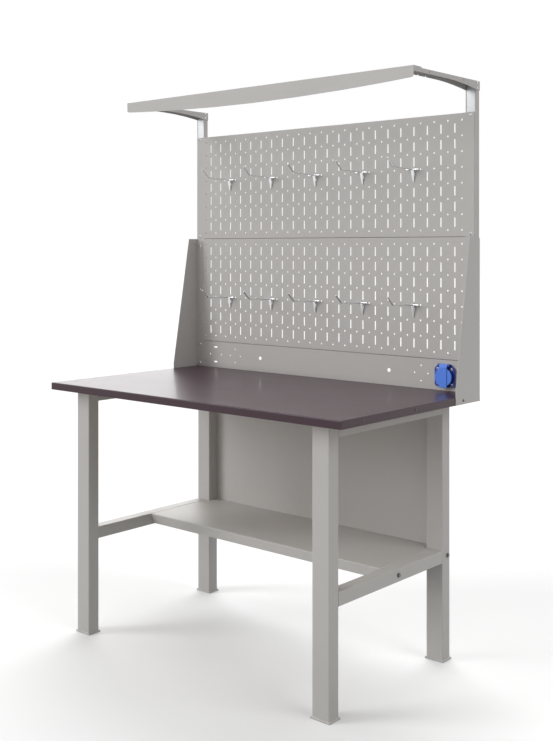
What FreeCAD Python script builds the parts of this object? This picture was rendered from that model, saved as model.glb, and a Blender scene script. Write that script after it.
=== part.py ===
"""Workbench with a steel-clad top, half-depth shelf, pegboard wall, hooks and a raised lamp frame.

Right is +X, the rear is +Y and up is +Z. The origin lies on the floor under the middle of the worktop.
All sizes are millimetres.
"""
import FreeCAD, Part
import math
import os
import re

import Sketcher

DOC = FreeCAD.newDocument("WorkbenchWithPegboard")
SHEET = DOC.addObject("Spreadsheet::Sheet", "Sizes")
VECTOR = FreeCAD.Vector
SIDES = {"left": -1, "right": 1}
EDGE_SIZES = {"Fillet": "Radius", "Chamfer": "Size"}
SHANK_SIDES = 6
HEAD_SIDES = 8
WIRE_SIDES = 6
ROUND_SIDES = 24
HOOKS_IN_ROW = 5
COLUMN_COUNT_TO_HOOK = 2
COLUMN_COUNT_PER_HOOK = 4
COUNT_TOLERANCE = 0.001

DRIVING_SIZES = {
    # Worktop: a board in a folded steel cover
    "worktop_width": 1200.0,
    "worktop_depth": 750.0,
    "worktop_height": 843.0,
    "worktop_thickness": 24.0,
    "cover_sheet": 1.2,
    "cover_bend": 2.0,
    "cover_seam": 0.8,
    "edge_screw_pitch": 268.0,
    # Legs, feet and rails: square steel tube
    "leg_width": 58.0,
    "leg_depth": 45.0,
    "tube_wall": 2.0,
    "tube_corner": 3.0,
    "leg_side_inset": 76.0,
    "leg_front_inset": 51.0,
    "leg_rear_inset": 53.0,
    "foot_height": 6.0,
    "foot_flare": 3.5,
    "foot_chamfer": 2.0,
    "plug_depth": 20.0,
    "plug_clearance": 0.3,
    "rail_size": 40.0,
    "lower_rail_top": 350.0,
    # Folded sheet pieces
    "sheet_steel": 1.5,
    "shelf_depth": 331.0,
    "shelf_lip": 32.0,
    "lip_slant": 12.0,
    "shelf_bend": 3.0,
    "back_flange": 25.0,
    "back_notch": 14.0,
    # Bolts through the rails and rear legs
    "bolt_diameter": 8.0,
    "bolt_head": 14.0,
    "bolt_head_height": 5.0,
    "bolt_clearance": 0.3,
    "bolt_drop": 19.0,
    "shelf_bolt_setback": 35.0,
    "back_bolt_setback": 15.0,
    # Uprights and the wall of panels
    "upright_depth": 22.0,
    "upright_wall": 2.0,
    "nest_clearance": 0.2,
    "post_wall": 1.5,
    "panel_margin": 6.0,
    "panel_gap": 1.0,
    "service_height": 99.0,
    "pegboard_height": 393.0,
    "panel_flange": 15.0,
    "flange_relief": 5.0,
    "hole_pitch": 50.0,
    "perforation_edge": 21.5,
    "slot_width": 5.0,
    "slot_length": 30.0,
    # Openings in the service panel
    "cable_hole": 13.0,
    "cable_hole_inset": 315.0,
    "outlet_height": 50.0,
    "diamond_inset": 192.0,
    "diamond_radius": 25.0,
    "small_hole": 5.0,
    "knockout_inset": 94.0,
    "knockout_radius": 28.0,
    "knockout_slot": 16.0,
    # Side wings
    "wing_depth": 128.0,
    "wing_top_depth": 43.0,
    "wing_nose": 43.0,
    "wing_setback": 3.0,
    "wing_flange": 32.0,
    "wing_corner": 8.0,
    "wing_flange_foot": 6.0,
    # Lamp frame
    "arm_top": 1827.0,
    "arm_width": 39.0,
    "arm_sheet": 1.5,
    "arm_reach": 392.5,
    "arm_shallow": 13.0,
    "arm_deep": 30.0,
    "arm_straight": 170.0,
    "arm_hole": 6.0,
    "arm_hole_front": 91.0,
    "arm_hole_pitch": 201.0,
    "notch_width": 5.0,
    "notch_depth": 3.0,
    "fascia_rise": 3.0,
    "fascia_end": 34.0,
    "fascia_sag": 20.0,
    "fascia_corner": 8.0,
    "return_length": 45.0,
    "return_height": 16.0,
    # Small screws
    "screw_diameter": 4.0,
    "screw_head": 9.0,
    "screw_head_height": 2.4,
    "screw_clearance": 0.2,
    "panel_screw_inset": 13.0,
    "panel_screw_edge": 9.0,
    "wing_screw_drop": 27.0,
    "service_screw_edge": 13.5,
    "arm_screw_inset": 13.0,
    "arm_screw_drop": 5.5,
    "arm_screw_pitch": 16.5,
    # Hooks
    "hook_wire": 5.0,
    "hook_bar": 48.0,
    "hook_standoff": 9.0,
    "hook_reach": 126.0,
    "hook_rise": 4.0,
    "hook_tip_reach": 31.0,
    "hook_tip_rise": 27.0,
    "hook_bend": 8.0,
    "hook_plate": 3.0,
    "hook_neck": 4.0,
    "hook_tongue": 13.0,
    "hook_claw": 7.0,
    "hook_clearance": 0.3,
    "hook_lift": 8.0,
    # Socket outlet with a sprung lid
    "socket_inset": 102.0,
    "socket_rise": 45.0,
    "socket_plate": 72.0,
    "socket_plate_drop": 31.5,
    "socket_plate_shoulder": 14.0,
    "socket_plate_corner": 8.0,
    "socket_plate_thickness": 5.0,
    "socket_gasket": 1.0,
    "gasket_inset": 1.0,
    "socket_screw_pitch": 49.0,
    "socket_collar": 50.0,
    "socket_collar_wall": 3.0,
    "socket_collar_height": 8.0,
    "socket_well": 39.0,
    "socket_well_depth": 17.5,
    "socket_floor": 4.0,
    "socket_cap": 6.0,
    "socket_pin_hole": 5.0,
    "socket_pin_pitch": 19.0,
    "earth_clip_width": 5.0,
    "earth_clip_length": 12.0,
    "earth_clip_sheet": 0.8,
    "lid_diameter": 60.0,
    "lid_wall": 2.5,
    "lid_depth": 5.0,
    "lid_seat_gap": 0.5,
    "lid_edge": 1.0,
    "lid_band_rise": 2.0,
    "lid_tab": 3.5,
    "hinge_pin": 3.0,
    "hinge_rise": 37.0,
    "hinge_wall": 3.2,
    "hinge_back_gap": 1.0,
    "hinge_lug": 28.0,
    "hinge_knuckle": 6.0,
    "hinge_clearance": 0.3,
}

# Places worked out from the driving sizes
HALF_WIDTH = "(worktop_width / 2)"
FRONT = "(-worktop_depth / 2)"
REAR = "(worktop_depth / 2)"
TOP_UNDERSIDE = "(worktop_height - worktop_thickness)"
LEG_OUTER = "(worktop_width / 2 - leg_side_inset)"
LEG_INNER = f"({LEG_OUTER} - leg_width)"
RAIL_INNER = f"({LEG_OUTER} - rail_size)"
FRONT_LEG = f"({FRONT} + leg_front_inset)"
REAR_LEG = f"({REAR} - leg_rear_inset - leg_depth)"
REAR_LEG_BACK = f"({REAR} - leg_rear_inset)"
RAIL_LENGTH = f"({REAR_LEG} - {FRONT_LEG} - leg_depth)"
BACK_FRONT = f"({REAR_LEG_BACK} - 2 * sheet_steel)"
SHELF_FRONT = f"({BACK_FRONT} - shelf_depth)"
UPRIGHT_FRONT = f"({REAR} - upright_depth)"
PANEL_FRONT = f"({UPRIGHT_FRONT} - sheet_steel)"
UPRIGHT_INNER = f"({HALF_WIDTH} - arm_width + arm_sheet + nest_clearance)"
UPRIGHT_OUTER = f"({HALF_WIDTH} - arm_sheet - nest_clearance)"
UPRIGHT_TOP = "(arm_top - arm_sheet)"
PANEL_HALF = f"({HALF_WIDTH} - panel_margin)"
SERVICE_TOP = "(worktop_height + service_height)"
LOWER_BASE = f"({SERVICE_TOP} + panel_gap)"
LOWER_TOP = f"({LOWER_BASE} + pegboard_height)"
UPPER_BASE = f"({LOWER_TOP} + panel_gap)"
UPPER_TOP = f"({UPPER_BASE} + pegboard_height)"
FLANGE_HALF = f"({UPRIGHT_INNER} - flange_relief)"
FASCIA_BACK = f"({REAR} - arm_reach)"
FASCIA_FRONT = f"({FASCIA_BACK} - arm_sheet)"
FASCIA_TOP = "(arm_top + fascia_rise)"
EDGE_SCREW_HEIGHT = "(worktop_height - worktop_thickness / 2)"
BOLT_HEIGHT = "(lower_rail_top - bolt_drop)"
ARM_SCREW_Y = f"({REAR} - arm_screw_inset)"
SHELF_BOLT = f"({SHELF_FRONT} + shelf_bolt_setback)"
BACK_BOLT = f"({REAR_LEG_BACK} - back_bolt_setback)"
PANEL_SCREW = f"({PANEL_HALF} - panel_screw_inset)"
OUTLET = "(worktop_height + outlet_height)"
SOCKET_X = f"({PANEL_HALF} - socket_inset)"
SOCKET_HEIGHT = "(worktop_height + socket_rise)"
SOCKET_SEAT = f"({PANEL_FRONT} - socket_gasket)"
SOCKET_FACE = f"({SOCKET_SEAT} - socket_plate_thickness)"
COLLAR_FACE = f"({SOCKET_FACE} - socket_collar_height)"
LID_FACE = f"({COLLAR_FACE} - lid_seat_gap - lid_wall)"
HINGE_RADIUS = "(hinge_pin / 2 + hinge_wall)"
HINGE_Y = f"({SOCKET_FACE} - hinge_back_gap - {HINGE_RADIUS})"
HINGE_Z = f"({SOCKET_HEIGHT} + hinge_rise)"
PARTS = []


def fill_sheet():
    """Write each driving size as a plain number with its name as the alias."""
    for row, (name, value) in enumerate(DRIVING_SIZES.items(), start=1):
        SHEET.set(f"A{row}", name)
        SHEET.set(f"B{row}", str(value))
        SHEET.setAlias(f"B{row}", name)
    DOC.recompute()


def formula(text):
    """Turn a formula of size names into an expression on the sheet."""
    return re.sub(r"\b([a-z]\w*)\b(?!\()", r"Sizes.\1", text)


def size(text):
    """Work out a formula of size names as a number."""
    return float(SHEET.evalExpression(text))


def point(x, y, z):
    """Work out three formulas as a vector."""
    return VECTOR(size(x), size(y), size(z))


def bind(item, **formulas):
    """Bind properties of a document object to formulas; two underscores stand for a dot."""
    for name, text in formulas.items():
        item.setExpression(name.replace("__", "."), formula(text))


def place(item, x="0", y="0", z="0"):
    """Bind the place of a document object to three formulas."""
    bind(item, Placement__Base__x=x, Placement__Base__y=y, Placement__Base__z=z)


def keep(item, label):
    """Name a finished sub-part and list it for writing."""
    item.Label = label
    PARTS.append(item)
    return item


def span(side, near, far):
    """Return the low and high X formulas of a stretch given by its distances from the middle."""
    if SIDES[side] > 0:
        return near, far
    return f"(-({far}))", f"(-({near}))"


def new_body(name):
    """Make an empty body."""
    return DOC.addObject("PartDesign::Body", name + "_body")


def add_sketch(body, role, loops, level):
    """Draw closed outlines of bound points on one of the body's planes at the given level."""
    sketch = body.newObject("Sketcher::SketchObject", body.Name + "_sketch")
    plane = next(item for item in body.Origin.OriginFeatures if item.Role == role)
    sketch.AttachmentSupport = (plane, [""])
    sketch.MapMode = "FlatFace"
    sign = "-" if role == "XZ_Plane" else ""
    bind(sketch, AttachmentOffset__Base__z=f"{sign}({level})")
    for corners in loops:
        add_outline(sketch, corners)
    return sketch


def add_outline(sketch, corners):
    """Add one closed outline and bind each corner to its two formulas."""
    first = sketch.GeometryCount
    count = len(corners)
    values = [VECTOR(size(across), size(along), 0) for across, along in corners]
    for index in range(count):
        sketch.addGeometry(Part.LineSegment(values[index], values[(index + 1) % count]))
    for index, (across, along) in enumerate(corners):
        after = first + (index + 1) % count
        sketch.addConstraint(Sketcher.Constraint("Coincident", first + index, 2, after, 1))
        for kind, text in (("DistanceX", across), ("DistanceY", along)):
            rule = Sketcher.Constraint(kind, -1, 1, first + index, 1, size(text))
            number = sketch.addConstraint(rule)
            bind(sketch, **{f"Constraints[{number}]": text})


def add_pad(body, role, loops, start, length):
    """Add material between start and start plus length along the plane's axis."""
    level = f"{start} + {length}" if role == "XZ_Plane" else start
    sketch = add_sketch(body, role, loops, level)
    pad = body.newObject("PartDesign::Pad", body.Name + "_pad")
    pad.Profile = sketch
    bind(pad, Length=length)
    DOC.recompute()
    return pad


def add_pocket(body, role, loops, start, length):
    """Take material away between start and start plus length along the plane's axis."""
    before = body.Shape.Volume
    level = start if role == "XZ_Plane" else f"{start} + {length}"
    sketch = add_sketch(body, role, loops, level)
    pocket = body.newObject("PartDesign::Pocket", body.Name + "_pocket")
    pocket.Profile = sketch
    bind(pocket, Length=length)
    DOC.recompute()
    if body.Shape.Volume >= before:
        raise ValueError(f"{pocket.Name} cuts nothing")
    return pocket


def dress_edges(body, kind, amount, wanted):
    """Round or bevel the edges whose middle point and direction pass the given test."""
    base = body.Tip
    names = []
    for number, edge in enumerate(base.Shape.Edges, start=1):
        middle = edge.valueAt((edge.FirstParameter + edge.LastParameter) / 2)
        direction = edge.Vertexes[-1].Point - edge.Vertexes[0].Point
        if direction.Length > 0 and wanted(middle, direction.normalize()):
            names.append(f"Edge{number}")
    dressing = body.newObject(f"PartDesign::{kind}", f"{body.Name}_{kind.lower()}")
    dressing.Base = (base, names)
    bind(dressing, **{EDGE_SIZES[kind]: amount})
    DOC.recompute()
    return dressing


def rectangle(across_low, across_high, along_low, along_high):
    """Return the four corners of a rectangle."""
    return [
        (across_low, along_low),
        (across_high, along_low),
        (across_high, along_high),
        (across_low, along_high),
    ]


def centred(width, depth):
    """Return the four corners of a rectangle about the middle."""
    return rectangle(f"-({width}) / 2", f"({width}) / 2", f"-({depth}) / 2", f"({depth}) / 2")


def near(value, target):
    """Tell whether two numbers agree to a hundredth."""
    return abs(value - target) < 0.01


def add_cylinder(diameter, length, direction, x, y, z):
    """Add a round bar that starts at a place and runs along a direction."""
    bar = DOC.addObject("Part::Cylinder", "bar")
    bar.Placement.Rotation = FreeCAD.Rotation(VECTOR(0, 0, 1), direction)
    bind(bar, Radius=f"({diameter}) / 2", Height=length)
    place(bar, x, y, z)
    return bar


def drill(item, name, bars):
    """Cut round bars out of a piece."""
    tool = DOC.addObject("Part::Compound", name + "_drills")
    tool.Links = bars
    cut = DOC.addObject("Part::Cut", name + "_drilled")
    cut.Base = item
    cut.Tool = tool
    DOC.recompute()
    if cut.Shape.Volume >= item.Shape.Volume:
        raise ValueError(f"{name} is not drilled")
    return cut


def add_tube(name, role, section, stretch, middle_line):
    """Make a square tube of a section along a stretch, with rounded corners and its middle line placed."""
    body = new_body(name)
    width, depth = section
    hollow = centred(f"{width} - 2 * tube_wall", f"{depth} - 2 * tube_wall")
    add_pad(body, role, [centred(width, depth), hollow], *stretch)
    half_width = size(width) / 2
    half_depth = size(depth) / 2

    def outer_corner(middle, direction):
        across, along = (middle.x, middle.y) if role == "XY_Plane" else (middle.x, middle.z)
        return near(abs(across), half_width) and near(abs(along), half_depth)

    dress_edges(body, "Fillet", "tube_corner", outer_corner)
    place(body, *middle_line)
    DOC.recompute()
    return body


def make_worktop():
    """Make the board and the folded steel cover over its top and edges."""
    board = DOC.addObject("Part::Box", "board_blank")
    bind(
        board,
        Length="worktop_width - 2 * cover_sheet",
        Width="worktop_depth - 2 * cover_sheet",
        Height="worktop_thickness - cover_sheet",
    )
    place(board, f"-{HALF_WIDTH} + cover_sheet", f"{FRONT} + cover_sheet", TOP_UNDERSIDE)
    DOC.recompute()
    keep(drill(board, "board", [edge_screw_hole(screw) for screw in edge_screws()]), "worktop_board")

    cover = new_body("worktop_cover")
    outer = centred("worktop_width", "worktop_depth")
    add_pad(cover, "XY_Plane", [outer], TOP_UNDERSIDE, "worktop_thickness")
    top = size("worktop_height")
    dress_edges(cover, "Fillet", "cover_bend", lambda middle, direction: near(middle.z, top))
    inner = centred("worktop_width - 2 * cover_sheet", "worktop_depth - 2 * cover_sheet")
    add_pocket(cover, "XY_Plane", [inner], TOP_UNDERSIDE, "worktop_thickness - cover_sheet")
    seams = []
    for across in (-1, 1):
        for along in (-1, 1):
            inner_x = f"{across} * ({HALF_WIDTH} - cover_sheet - cover_seam)"
            inner_y = f"{along} * ({REAR} - cover_sheet)"
            outer_y = f"{along} * ({REAR} + cover_seam)"
            seams.append(rectangle(inner_x, f"{across} * ({HALF_WIDTH} - cover_sheet)", inner_y, outer_y))
    add_pocket(cover, "XY_Plane", seams, TOP_UNDERSIDE, "worktop_thickness - cover_bend - cover_seam")
    keep(drill(cover, "cover", [edge_screw_hole(screw) for screw in edge_screws()]), "worktop_cover")


def edge_screws():
    """Return the side and Y formula of each screw in the worktop's side edges."""
    return [(side, f"({step} * edge_screw_pitch)") for side in SIDES for step in (-1, 0, 1)]


def edge_screw_hole(screw):
    """Return the hole of one edge screw, from outside the wing inwards."""
    side, along = screw
    sign = SIDES[side]
    outside = f"{sign} * ({HALF_WIDTH} + sheet_steel)"
    return screw_hole("2 * screw_head", VECTOR(-sign, 0, 0), outside, along, EDGE_SCREW_HEIGHT)


def sided_hole(sides, radius, length, direction, x, y, z):
    """Return a many-sided bar for a hole."""
    hole = DOC.addObject("Part::Prism", "sided_hole")
    hole.Polygon = sides
    hole.Placement.Rotation = FreeCAD.Rotation(VECTOR(0, 0, 1), direction)
    bind(hole, Circumradius=radius, Height=length)
    place(hole, x, y, z)
    return hole


def screw_hole(length, direction, x, y, z):
    """Return the hole of one screw, with clearance round its shank."""
    radius = "screw_diameter / 2 + screw_clearance"
    return sided_hole(SHANK_SIDES, radius, length, direction, x, y, z)


def ring_corners(radius, sides):
    """Return the corners of a regular polygon about Z, closed by the first one."""
    turns = [2 * math.pi * step / sides for step in range(sides + 1)]
    return [VECTOR(radius * math.cos(turn), radius * math.sin(turn), 0) for turn in turns]


def prism(radius, sides, start, end):
    """Return an upright prism about Z between two heights."""
    base = [corner + VECTOR(0, 0, start) for corner in ring_corners(radius, sides)]
    return Part.Face(Part.makePolygon(base)).extrude(VECTOR(0, 0, end - start))


def screw_solid(seat, direction, length):
    """Return one screw whose head sits at a place and whose shank runs along a direction."""
    head = prism(size("screw_head") / 2, HEAD_SIDES, -size("screw_head_height"), 0)
    shank = prism(size("screw_diameter") / 2, SHANK_SIDES, 0, length)
    solid = head.fuse(shank).removeSplitter()
    solid.Placement = FreeCAD.Placement(seat, FreeCAD.Rotation(VECTOR(0, 0, 1), direction))
    return solid


def keep_group(label, solids):
    """Keep separate solids of one kind together as one sub-part."""
    group = DOC.addObject("Part::Feature", label)
    group.Shape = Part.makeCompound(solids)
    return keep(group, label)


def make_edge_screws():
    """Make the screws in the worktop's side edges; the rear ones hold the wings."""
    free = []
    wing = []
    length = size("screw_head * 2 - sheet_steel")
    for side, along in edge_screws():
        sign = SIDES[side]
        holds_wing = size(along) > 0
        outside = f"{HALF_WIDTH} + sheet_steel" if holds_wing else HALF_WIDTH
        seat = point(f"{sign} * ({outside})", along, EDGE_SCREW_HEIGHT)
        target = wing if holds_wing else free
        target.append(screw_solid(seat, VECTOR(-sign, 0, 0), length))
    keep_group("worktop_edge_screws", free)
    keep_group("wing_edge_screws", wing)


def leg_places():
    """Return the name and the X and Y formulas of the middle of each leg."""
    rows = {"front": f"({FRONT_LEG} + leg_depth / 2)", "rear": f"({REAR_LEG} + leg_depth / 2)"}
    places = []
    for row, along in rows.items():
        for side, sign in SIDES.items():
            places.append((row, side, f"{sign} * ({LEG_OUTER} - leg_width / 2)", along))
    return places


def bolt_hole(along):
    """Return a bolt's hole along X right through both sides."""
    radius = "bolt_diameter / 2 + bolt_clearance"
    start = f"-{HALF_WIDTH}"
    return sided_hole(SHANK_SIDES, radius, "worktop_width", VECTOR(1, 0, 0), start, along, BOLT_HEIGHT)


def make_legs():
    """Make four legs and the flared foot plugged into each."""
    for row, side, across, along in leg_places():
        name = f"{row}_{side}_leg"
        length = f"{TOP_UNDERSIDE} - foot_height"
        section = ("leg_width", "leg_depth")
        leg = add_tube(name, "XY_Plane", section, ("foot_height", length), (across, along, "0"))
        if row == "rear":
            leg = drill(leg, name, [bolt_hole(BACK_BOLT)])
        keep(leg, name)

        foot = new_body(f"{row}_{side}_foot")
        plate = centred("leg_width + 2 * foot_flare", "leg_depth + 2 * foot_flare")
        add_pad(foot, "XY_Plane", [plate], "0", "foot_height")
        top = size("foot_height")
        dress_edges(foot, "Chamfer", "foot_chamfer", lambda middle, direction: near(middle.z, top))
        inside = "(2 * tube_wall + 2 * plug_clearance)"
        plug = centred(f"leg_width - {inside}", f"leg_depth - {inside}")
        add_pad(foot, "XY_Plane", [plug], "foot_height", "plug_depth")
        place(foot, across, along)
        keep(foot, f"{row}_{side}_foot")


def make_rails():
    """Make the upper and lower rail between the legs of each side."""
    start = f"({FRONT_LEG} + leg_depth)"
    heights = {"top": f"({TOP_UNDERSIDE} - rail_size / 2)", "lower": "(lower_rail_top - rail_size / 2)"}
    for level, height in heights.items():
        for side, sign in SIDES.items():
            name = f"{level}_{side}_rail"
            across = f"{sign} * ({LEG_OUTER} - rail_size / 2)"
            section = ("rail_size", "rail_size")
            rail = add_tube(name, "XZ_Plane", section, (start, RAIL_LENGTH), (across, "0", height))
            if level == "lower":
                rail = drill(rail, name, [bolt_hole(SHELF_BOLT)])
            keep(rail, name)


def make_shelf():
    """Make the half-depth shelf: a sheet with a slant-ended front lip and bolted side skirts."""
    shelf = new_body("shelf")
    corner_x = f"({LEG_INNER} - flange_relief)"
    corner_y = f"({REAR_LEG} - flange_relief)"
    outline = [
        (f"-{RAIL_INNER}", SHELF_FRONT),
        (RAIL_INNER, SHELF_FRONT),
        (RAIL_INNER, corner_y),
        (corner_x, corner_y),
        (corner_x, BACK_FRONT),
        (f"-{corner_x}", BACK_FRONT),
        (f"-{corner_x}", corner_y),
        (f"-{RAIL_INNER}", corner_y),
    ]
    add_pad(shelf, "XY_Plane", [outline], "lower_rail_top - shelf_lip", "shelf_lip")
    top = size("lower_rail_top")
    front = size(SHELF_FRONT)
    side = size(RAIL_INNER)

    def folded(middle, direction):
        on_front = near(middle.y, front)
        return near(middle.z, top) and (on_front or near(abs(middle.x), side))

    dress_edges(shelf, "Fillet", "shelf_bend", folded)
    hollow = [
        (f"-{RAIL_INNER} + sheet_steel", f"{SHELF_FRONT} + sheet_steel"),
        (f"{RAIL_INNER} - sheet_steel", f"{SHELF_FRONT} + sheet_steel"),
        (f"{RAIL_INNER} - sheet_steel", f"{BACK_FRONT} + sheet_steel"),
        (f"-{RAIL_INNER} + sheet_steel", f"{BACK_FRONT} + sheet_steel"),
    ]
    add_pocket(shelf, "XY_Plane", [hollow], "lower_rail_top - shelf_lip", "shelf_lip - sheet_steel")
    slants = []
    for sign in SIDES.values():
        slants.append([
            (f"{sign} * {RAIL_INNER}", "lower_rail_top - shelf_lip"),
            (f"{sign} * {RAIL_INNER}", "lower_rail_top - shelf_bend - sheet_steel"),
            (f"{sign} * ({RAIL_INNER} - lip_slant)", "lower_rail_top - shelf_lip"),
        ])
    add_pocket(shelf, "XZ_Plane", slants, SHELF_FRONT, "lip_slant")
    keep(drill(shelf, "shelf", [bolt_hole(SHELF_BOLT)]), "shelf")


def make_back_panel():
    """Make the panel between the rear legs, with side and top flanges folded forward."""
    panel = new_body("back_panel")
    base = "(lower_rail_top - shelf_lip)"
    height = f"({TOP_UNDERSIDE} - {base})"
    flange_front = f"({BACK_FRONT} + sheet_steel - back_flange)"
    outline = rectangle(f"-{LEG_INNER}", LEG_INNER, flange_front, f"{BACK_FRONT} + sheet_steel")
    add_pad(panel, "XY_Plane", [outline], base, height)
    inside = rectangle(
        f"-{LEG_INNER} + sheet_steel", f"{LEG_INNER} - sheet_steel",
        f"{flange_front} - sheet_steel", BACK_FRONT,
    )
    add_pocket(panel, "XY_Plane", [inside], base, f"{height} - sheet_steel")
    notches = []
    for sign in SIDES.values():
        inner = f"{sign} * ({LEG_INNER} - back_notch)"
        outer = f"{sign} * ({LEG_INNER} - sheet_steel)"
        notches.append(rectangle(inner, outer, base, f"{base} + back_notch"))
    add_pocket(panel, "XZ_Plane", notches, BACK_FRONT, "sheet_steel")
    keep(drill(panel, "back_panel", [bolt_hole(BACK_BOLT)]), "back_panel")


def bolt_solid(seat, direction, length):
    """Return one hexagon bolt whose head sits at a place and whose shank runs along a direction."""
    head = prism(size("bolt_head") / math.sqrt(3), SHANK_SIDES, -size("bolt_head_height"), 0)
    shank = prism(size("bolt_diameter") / 2, SHANK_SIDES, 0, length)
    solid = head.fuse(shank).removeSplitter()
    solid.Placement = FreeCAD.Placement(seat, FreeCAD.Rotation(VECTOR(0, 0, 1), direction))
    return solid


def make_bolts():
    """Make the bolts of the shelf through the rails and of the back panel through the rear legs."""
    groups = {
        "shelf_bolts": (SHELF_BOLT, "rail_size + sheet_steel"),
        "back_panel_bolts": (BACK_BOLT, "leg_width + sheet_steel"),
    }
    for label, (along, grip) in groups.items():
        solids = []
        for sign in SIDES.values():
            seat = point(f"{sign} * {LEG_OUTER}", along, BOLT_HEIGHT)
            solids.append(bolt_solid(seat, VECTOR(-sign, 0, 0), size(f"{grip} + bolt_diameter / 2")))
        keep_group(label, solids)


def channel(low, high, front, rear, wall, opens_forward):
    """Return the corners of a folded channel's section."""
    closed, opened = (rear, front) if opens_forward else (front, rear)
    floor = f"{rear} - {wall}" if opens_forward else f"{front} + {wall}"
    return [
        (low, opened), (low, closed), (high, closed), (high, opened),
        (f"{high} - {wall}", opened), (f"{high} - {wall}", floor),
        (f"{low} + {wall}", floor), (f"{low} + {wall}", opened),
    ]


def post_screw_heights():
    """Return the Z formulas of the screws that go through the panels into each post."""
    return {
        "upper": [f"({UPPER_TOP} - panel_screw_edge)", f"({UPPER_BASE} + panel_screw_edge)"],
        "wing": [
            f"({LOWER_TOP} - wing_screw_drop)",
            f"({LOWER_BASE} + pegboard_height / 2)",
            f"({SERVICE_TOP} - service_screw_edge)",
            "(worktop_height + service_screw_edge)",
        ],
    }


def panel_screw_holes(sign, heights):
    """Return the holes of the panel screws on one side, from in front of the wing's flange."""
    front = f"{PANEL_FRONT} - 2 * sheet_steel"
    return [screw_hole("upright_depth / 2", VECTOR(0, 1, 0), f"{sign} * {PANEL_SCREW}", front, height)
            for height in heights]


def arm_screw_seats(sign):
    """Return the X formula and the direction of the screws in the outer and the inner flange of an arm."""
    inward = VECTOR(-sign, 0, 0)
    return [(f"{sign} * {HALF_WIDTH}", inward), (f"{sign} * ({HALF_WIDTH} - arm_width)", inward * -1)]


def arm_screw_holes(sign):
    """Return the holes of the screws that hold one arm to its upright."""
    return [screw_hole("arm_width / 3", direction, seat, ARM_SCREW_Y, f"arm_top - {drop}")
            for seat, direction in arm_screw_seats(sign) for drop in arm_screw_drops()]


def make_uprights():
    """Make each upright: a painted channel that opens forward and a bright post nested in it."""
    height = f"({UPRIGHT_TOP} - worktop_height)"
    screws = post_screw_heights()
    for side, sign in SIDES.items():
        low, high = span(side, UPRIGHT_INNER, UPRIGHT_OUTER)
        upright = new_body(f"{side}_upright")
        outline = channel(low, high, UPRIGHT_FRONT, REAR, "upright_wall", True)
        add_pad(upright, "XY_Plane", [outline], "worktop_height", height)
        keep(drill(upright, "upright", arm_screw_holes(sign)), f"{side}_upright")

        low, high = span(side, f"({UPRIGHT_INNER} + upright_wall + nest_clearance)",
                         f"({UPRIGHT_OUTER} - upright_wall - nest_clearance)")
        post = new_body(f"{side}_post")
        outline = channel(low, high, UPRIGHT_FRONT, f"({REAR} - upright_wall)", "post_wall", False)
        add_pad(post, "XY_Plane", [outline], "worktop_height", height)
        holes = arm_screw_holes(sign) + panel_screw_holes(sign, screws["upper"] + screws["wing"])
        keep(drill(post, "post", holes), f"{side}_post")


def arm_screw_drops():
    """Return the depths below the arm's top of the two screws at its rear end."""
    return ["(arm_screw_drop)", "(arm_screw_drop + arm_screw_pitch)"]


def square_opening(x, z, length, width):
    """Return a rectangular opening as a wire in the panel's plane."""
    half_x = length / 2
    half_z = width / 2
    corners = [
        VECTOR(x - half_x, 0, z - half_z),
        VECTOR(x + half_x, 0, z - half_z),
        VECTOR(x + half_x, 0, z + half_z),
        VECTOR(x - half_x, 0, z + half_z),
    ]
    return Part.makePolygon(corners + corners[:1])


def round_hole(x, z, diameter):
    """Return a round opening as a wire in the panel's plane."""
    return Part.Wire(Part.makeCircle(diameter / 2, VECTOR(x, 0, z), VECTOR(0, 1, 0)))


def make_panel(label, base, top, openings):
    """Make a flat panel in front of the uprights with flanges folded back along its top and base."""
    sheet = size("sheet_steel")
    half = size(PANEL_HALF)
    low, high = size(base), size(top)
    outer = square_opening(0, (low + high) / 2, 2 * half, high - low)
    face = Part.Face([outer] + openings, "Part::FaceMakerBullseye")
    plate = face.extrude(VECTOR(0, sheet, 0))
    flange_half = size(FLANGE_HALF)
    flanges = [
        Part.makeBox(2 * flange_half, size("panel_flange"), sheet, VECTOR(-flange_half, sheet, level))
        for level in (low, high - sheet)
    ]
    shape = plate.multiFuse(flanges).removeSplitter()
    shape.translate(VECTOR(0, size(PANEL_FRONT), 0))
    panel = DOC.addObject("Part::Feature", label)
    panel.Shape = shape
    keep(panel, label)


def sided_opening(x, z, radius, sides):
    """Return a many-sided hole as a wire in the panel's plane."""
    corners = ring_corners(size(radius), sides)
    return Part.makePolygon([VECTOR(x + corner.x, 0, z + corner.y) for corner in corners])


def screw_opening(x, z):
    """Return the six-sided clearance hole of one screw in a panel's plane."""
    return sided_opening(x, z, "screw_diameter / 2 + screw_clearance", SHANK_SIDES)


def screw_openings(heights):
    """Return the clearance holes of the screws at both ends of a panel."""
    across = size(PANEL_SCREW)
    return [screw_opening(sign * across, size(height)) for sign in SIDES.values() for height in heights]


def slot_columns():
    """Return the X of each column of slots, from left to right."""
    columns = int(size(f"(2 * {UPRIGHT_INNER} - 2 * slot_width) / hole_pitch"))
    return [(column - (columns - 1) / 2) * size("hole_pitch") for column in range(columns)]


def slot_places(base):
    """Return the X and Z of each slot of a pegboard that starts at the given height."""
    pitch = size("hole_pitch")
    rows = int(size("(pegboard_height - 2 * perforation_edge) / hole_pitch") + COUNT_TOLERANCE)
    first = size(f"{base} + pegboard_height / 2") - (rows - 1) / 2 * pitch
    return [(x, first + row * pitch) for x in slot_columns() for row in range(rows)]


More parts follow.
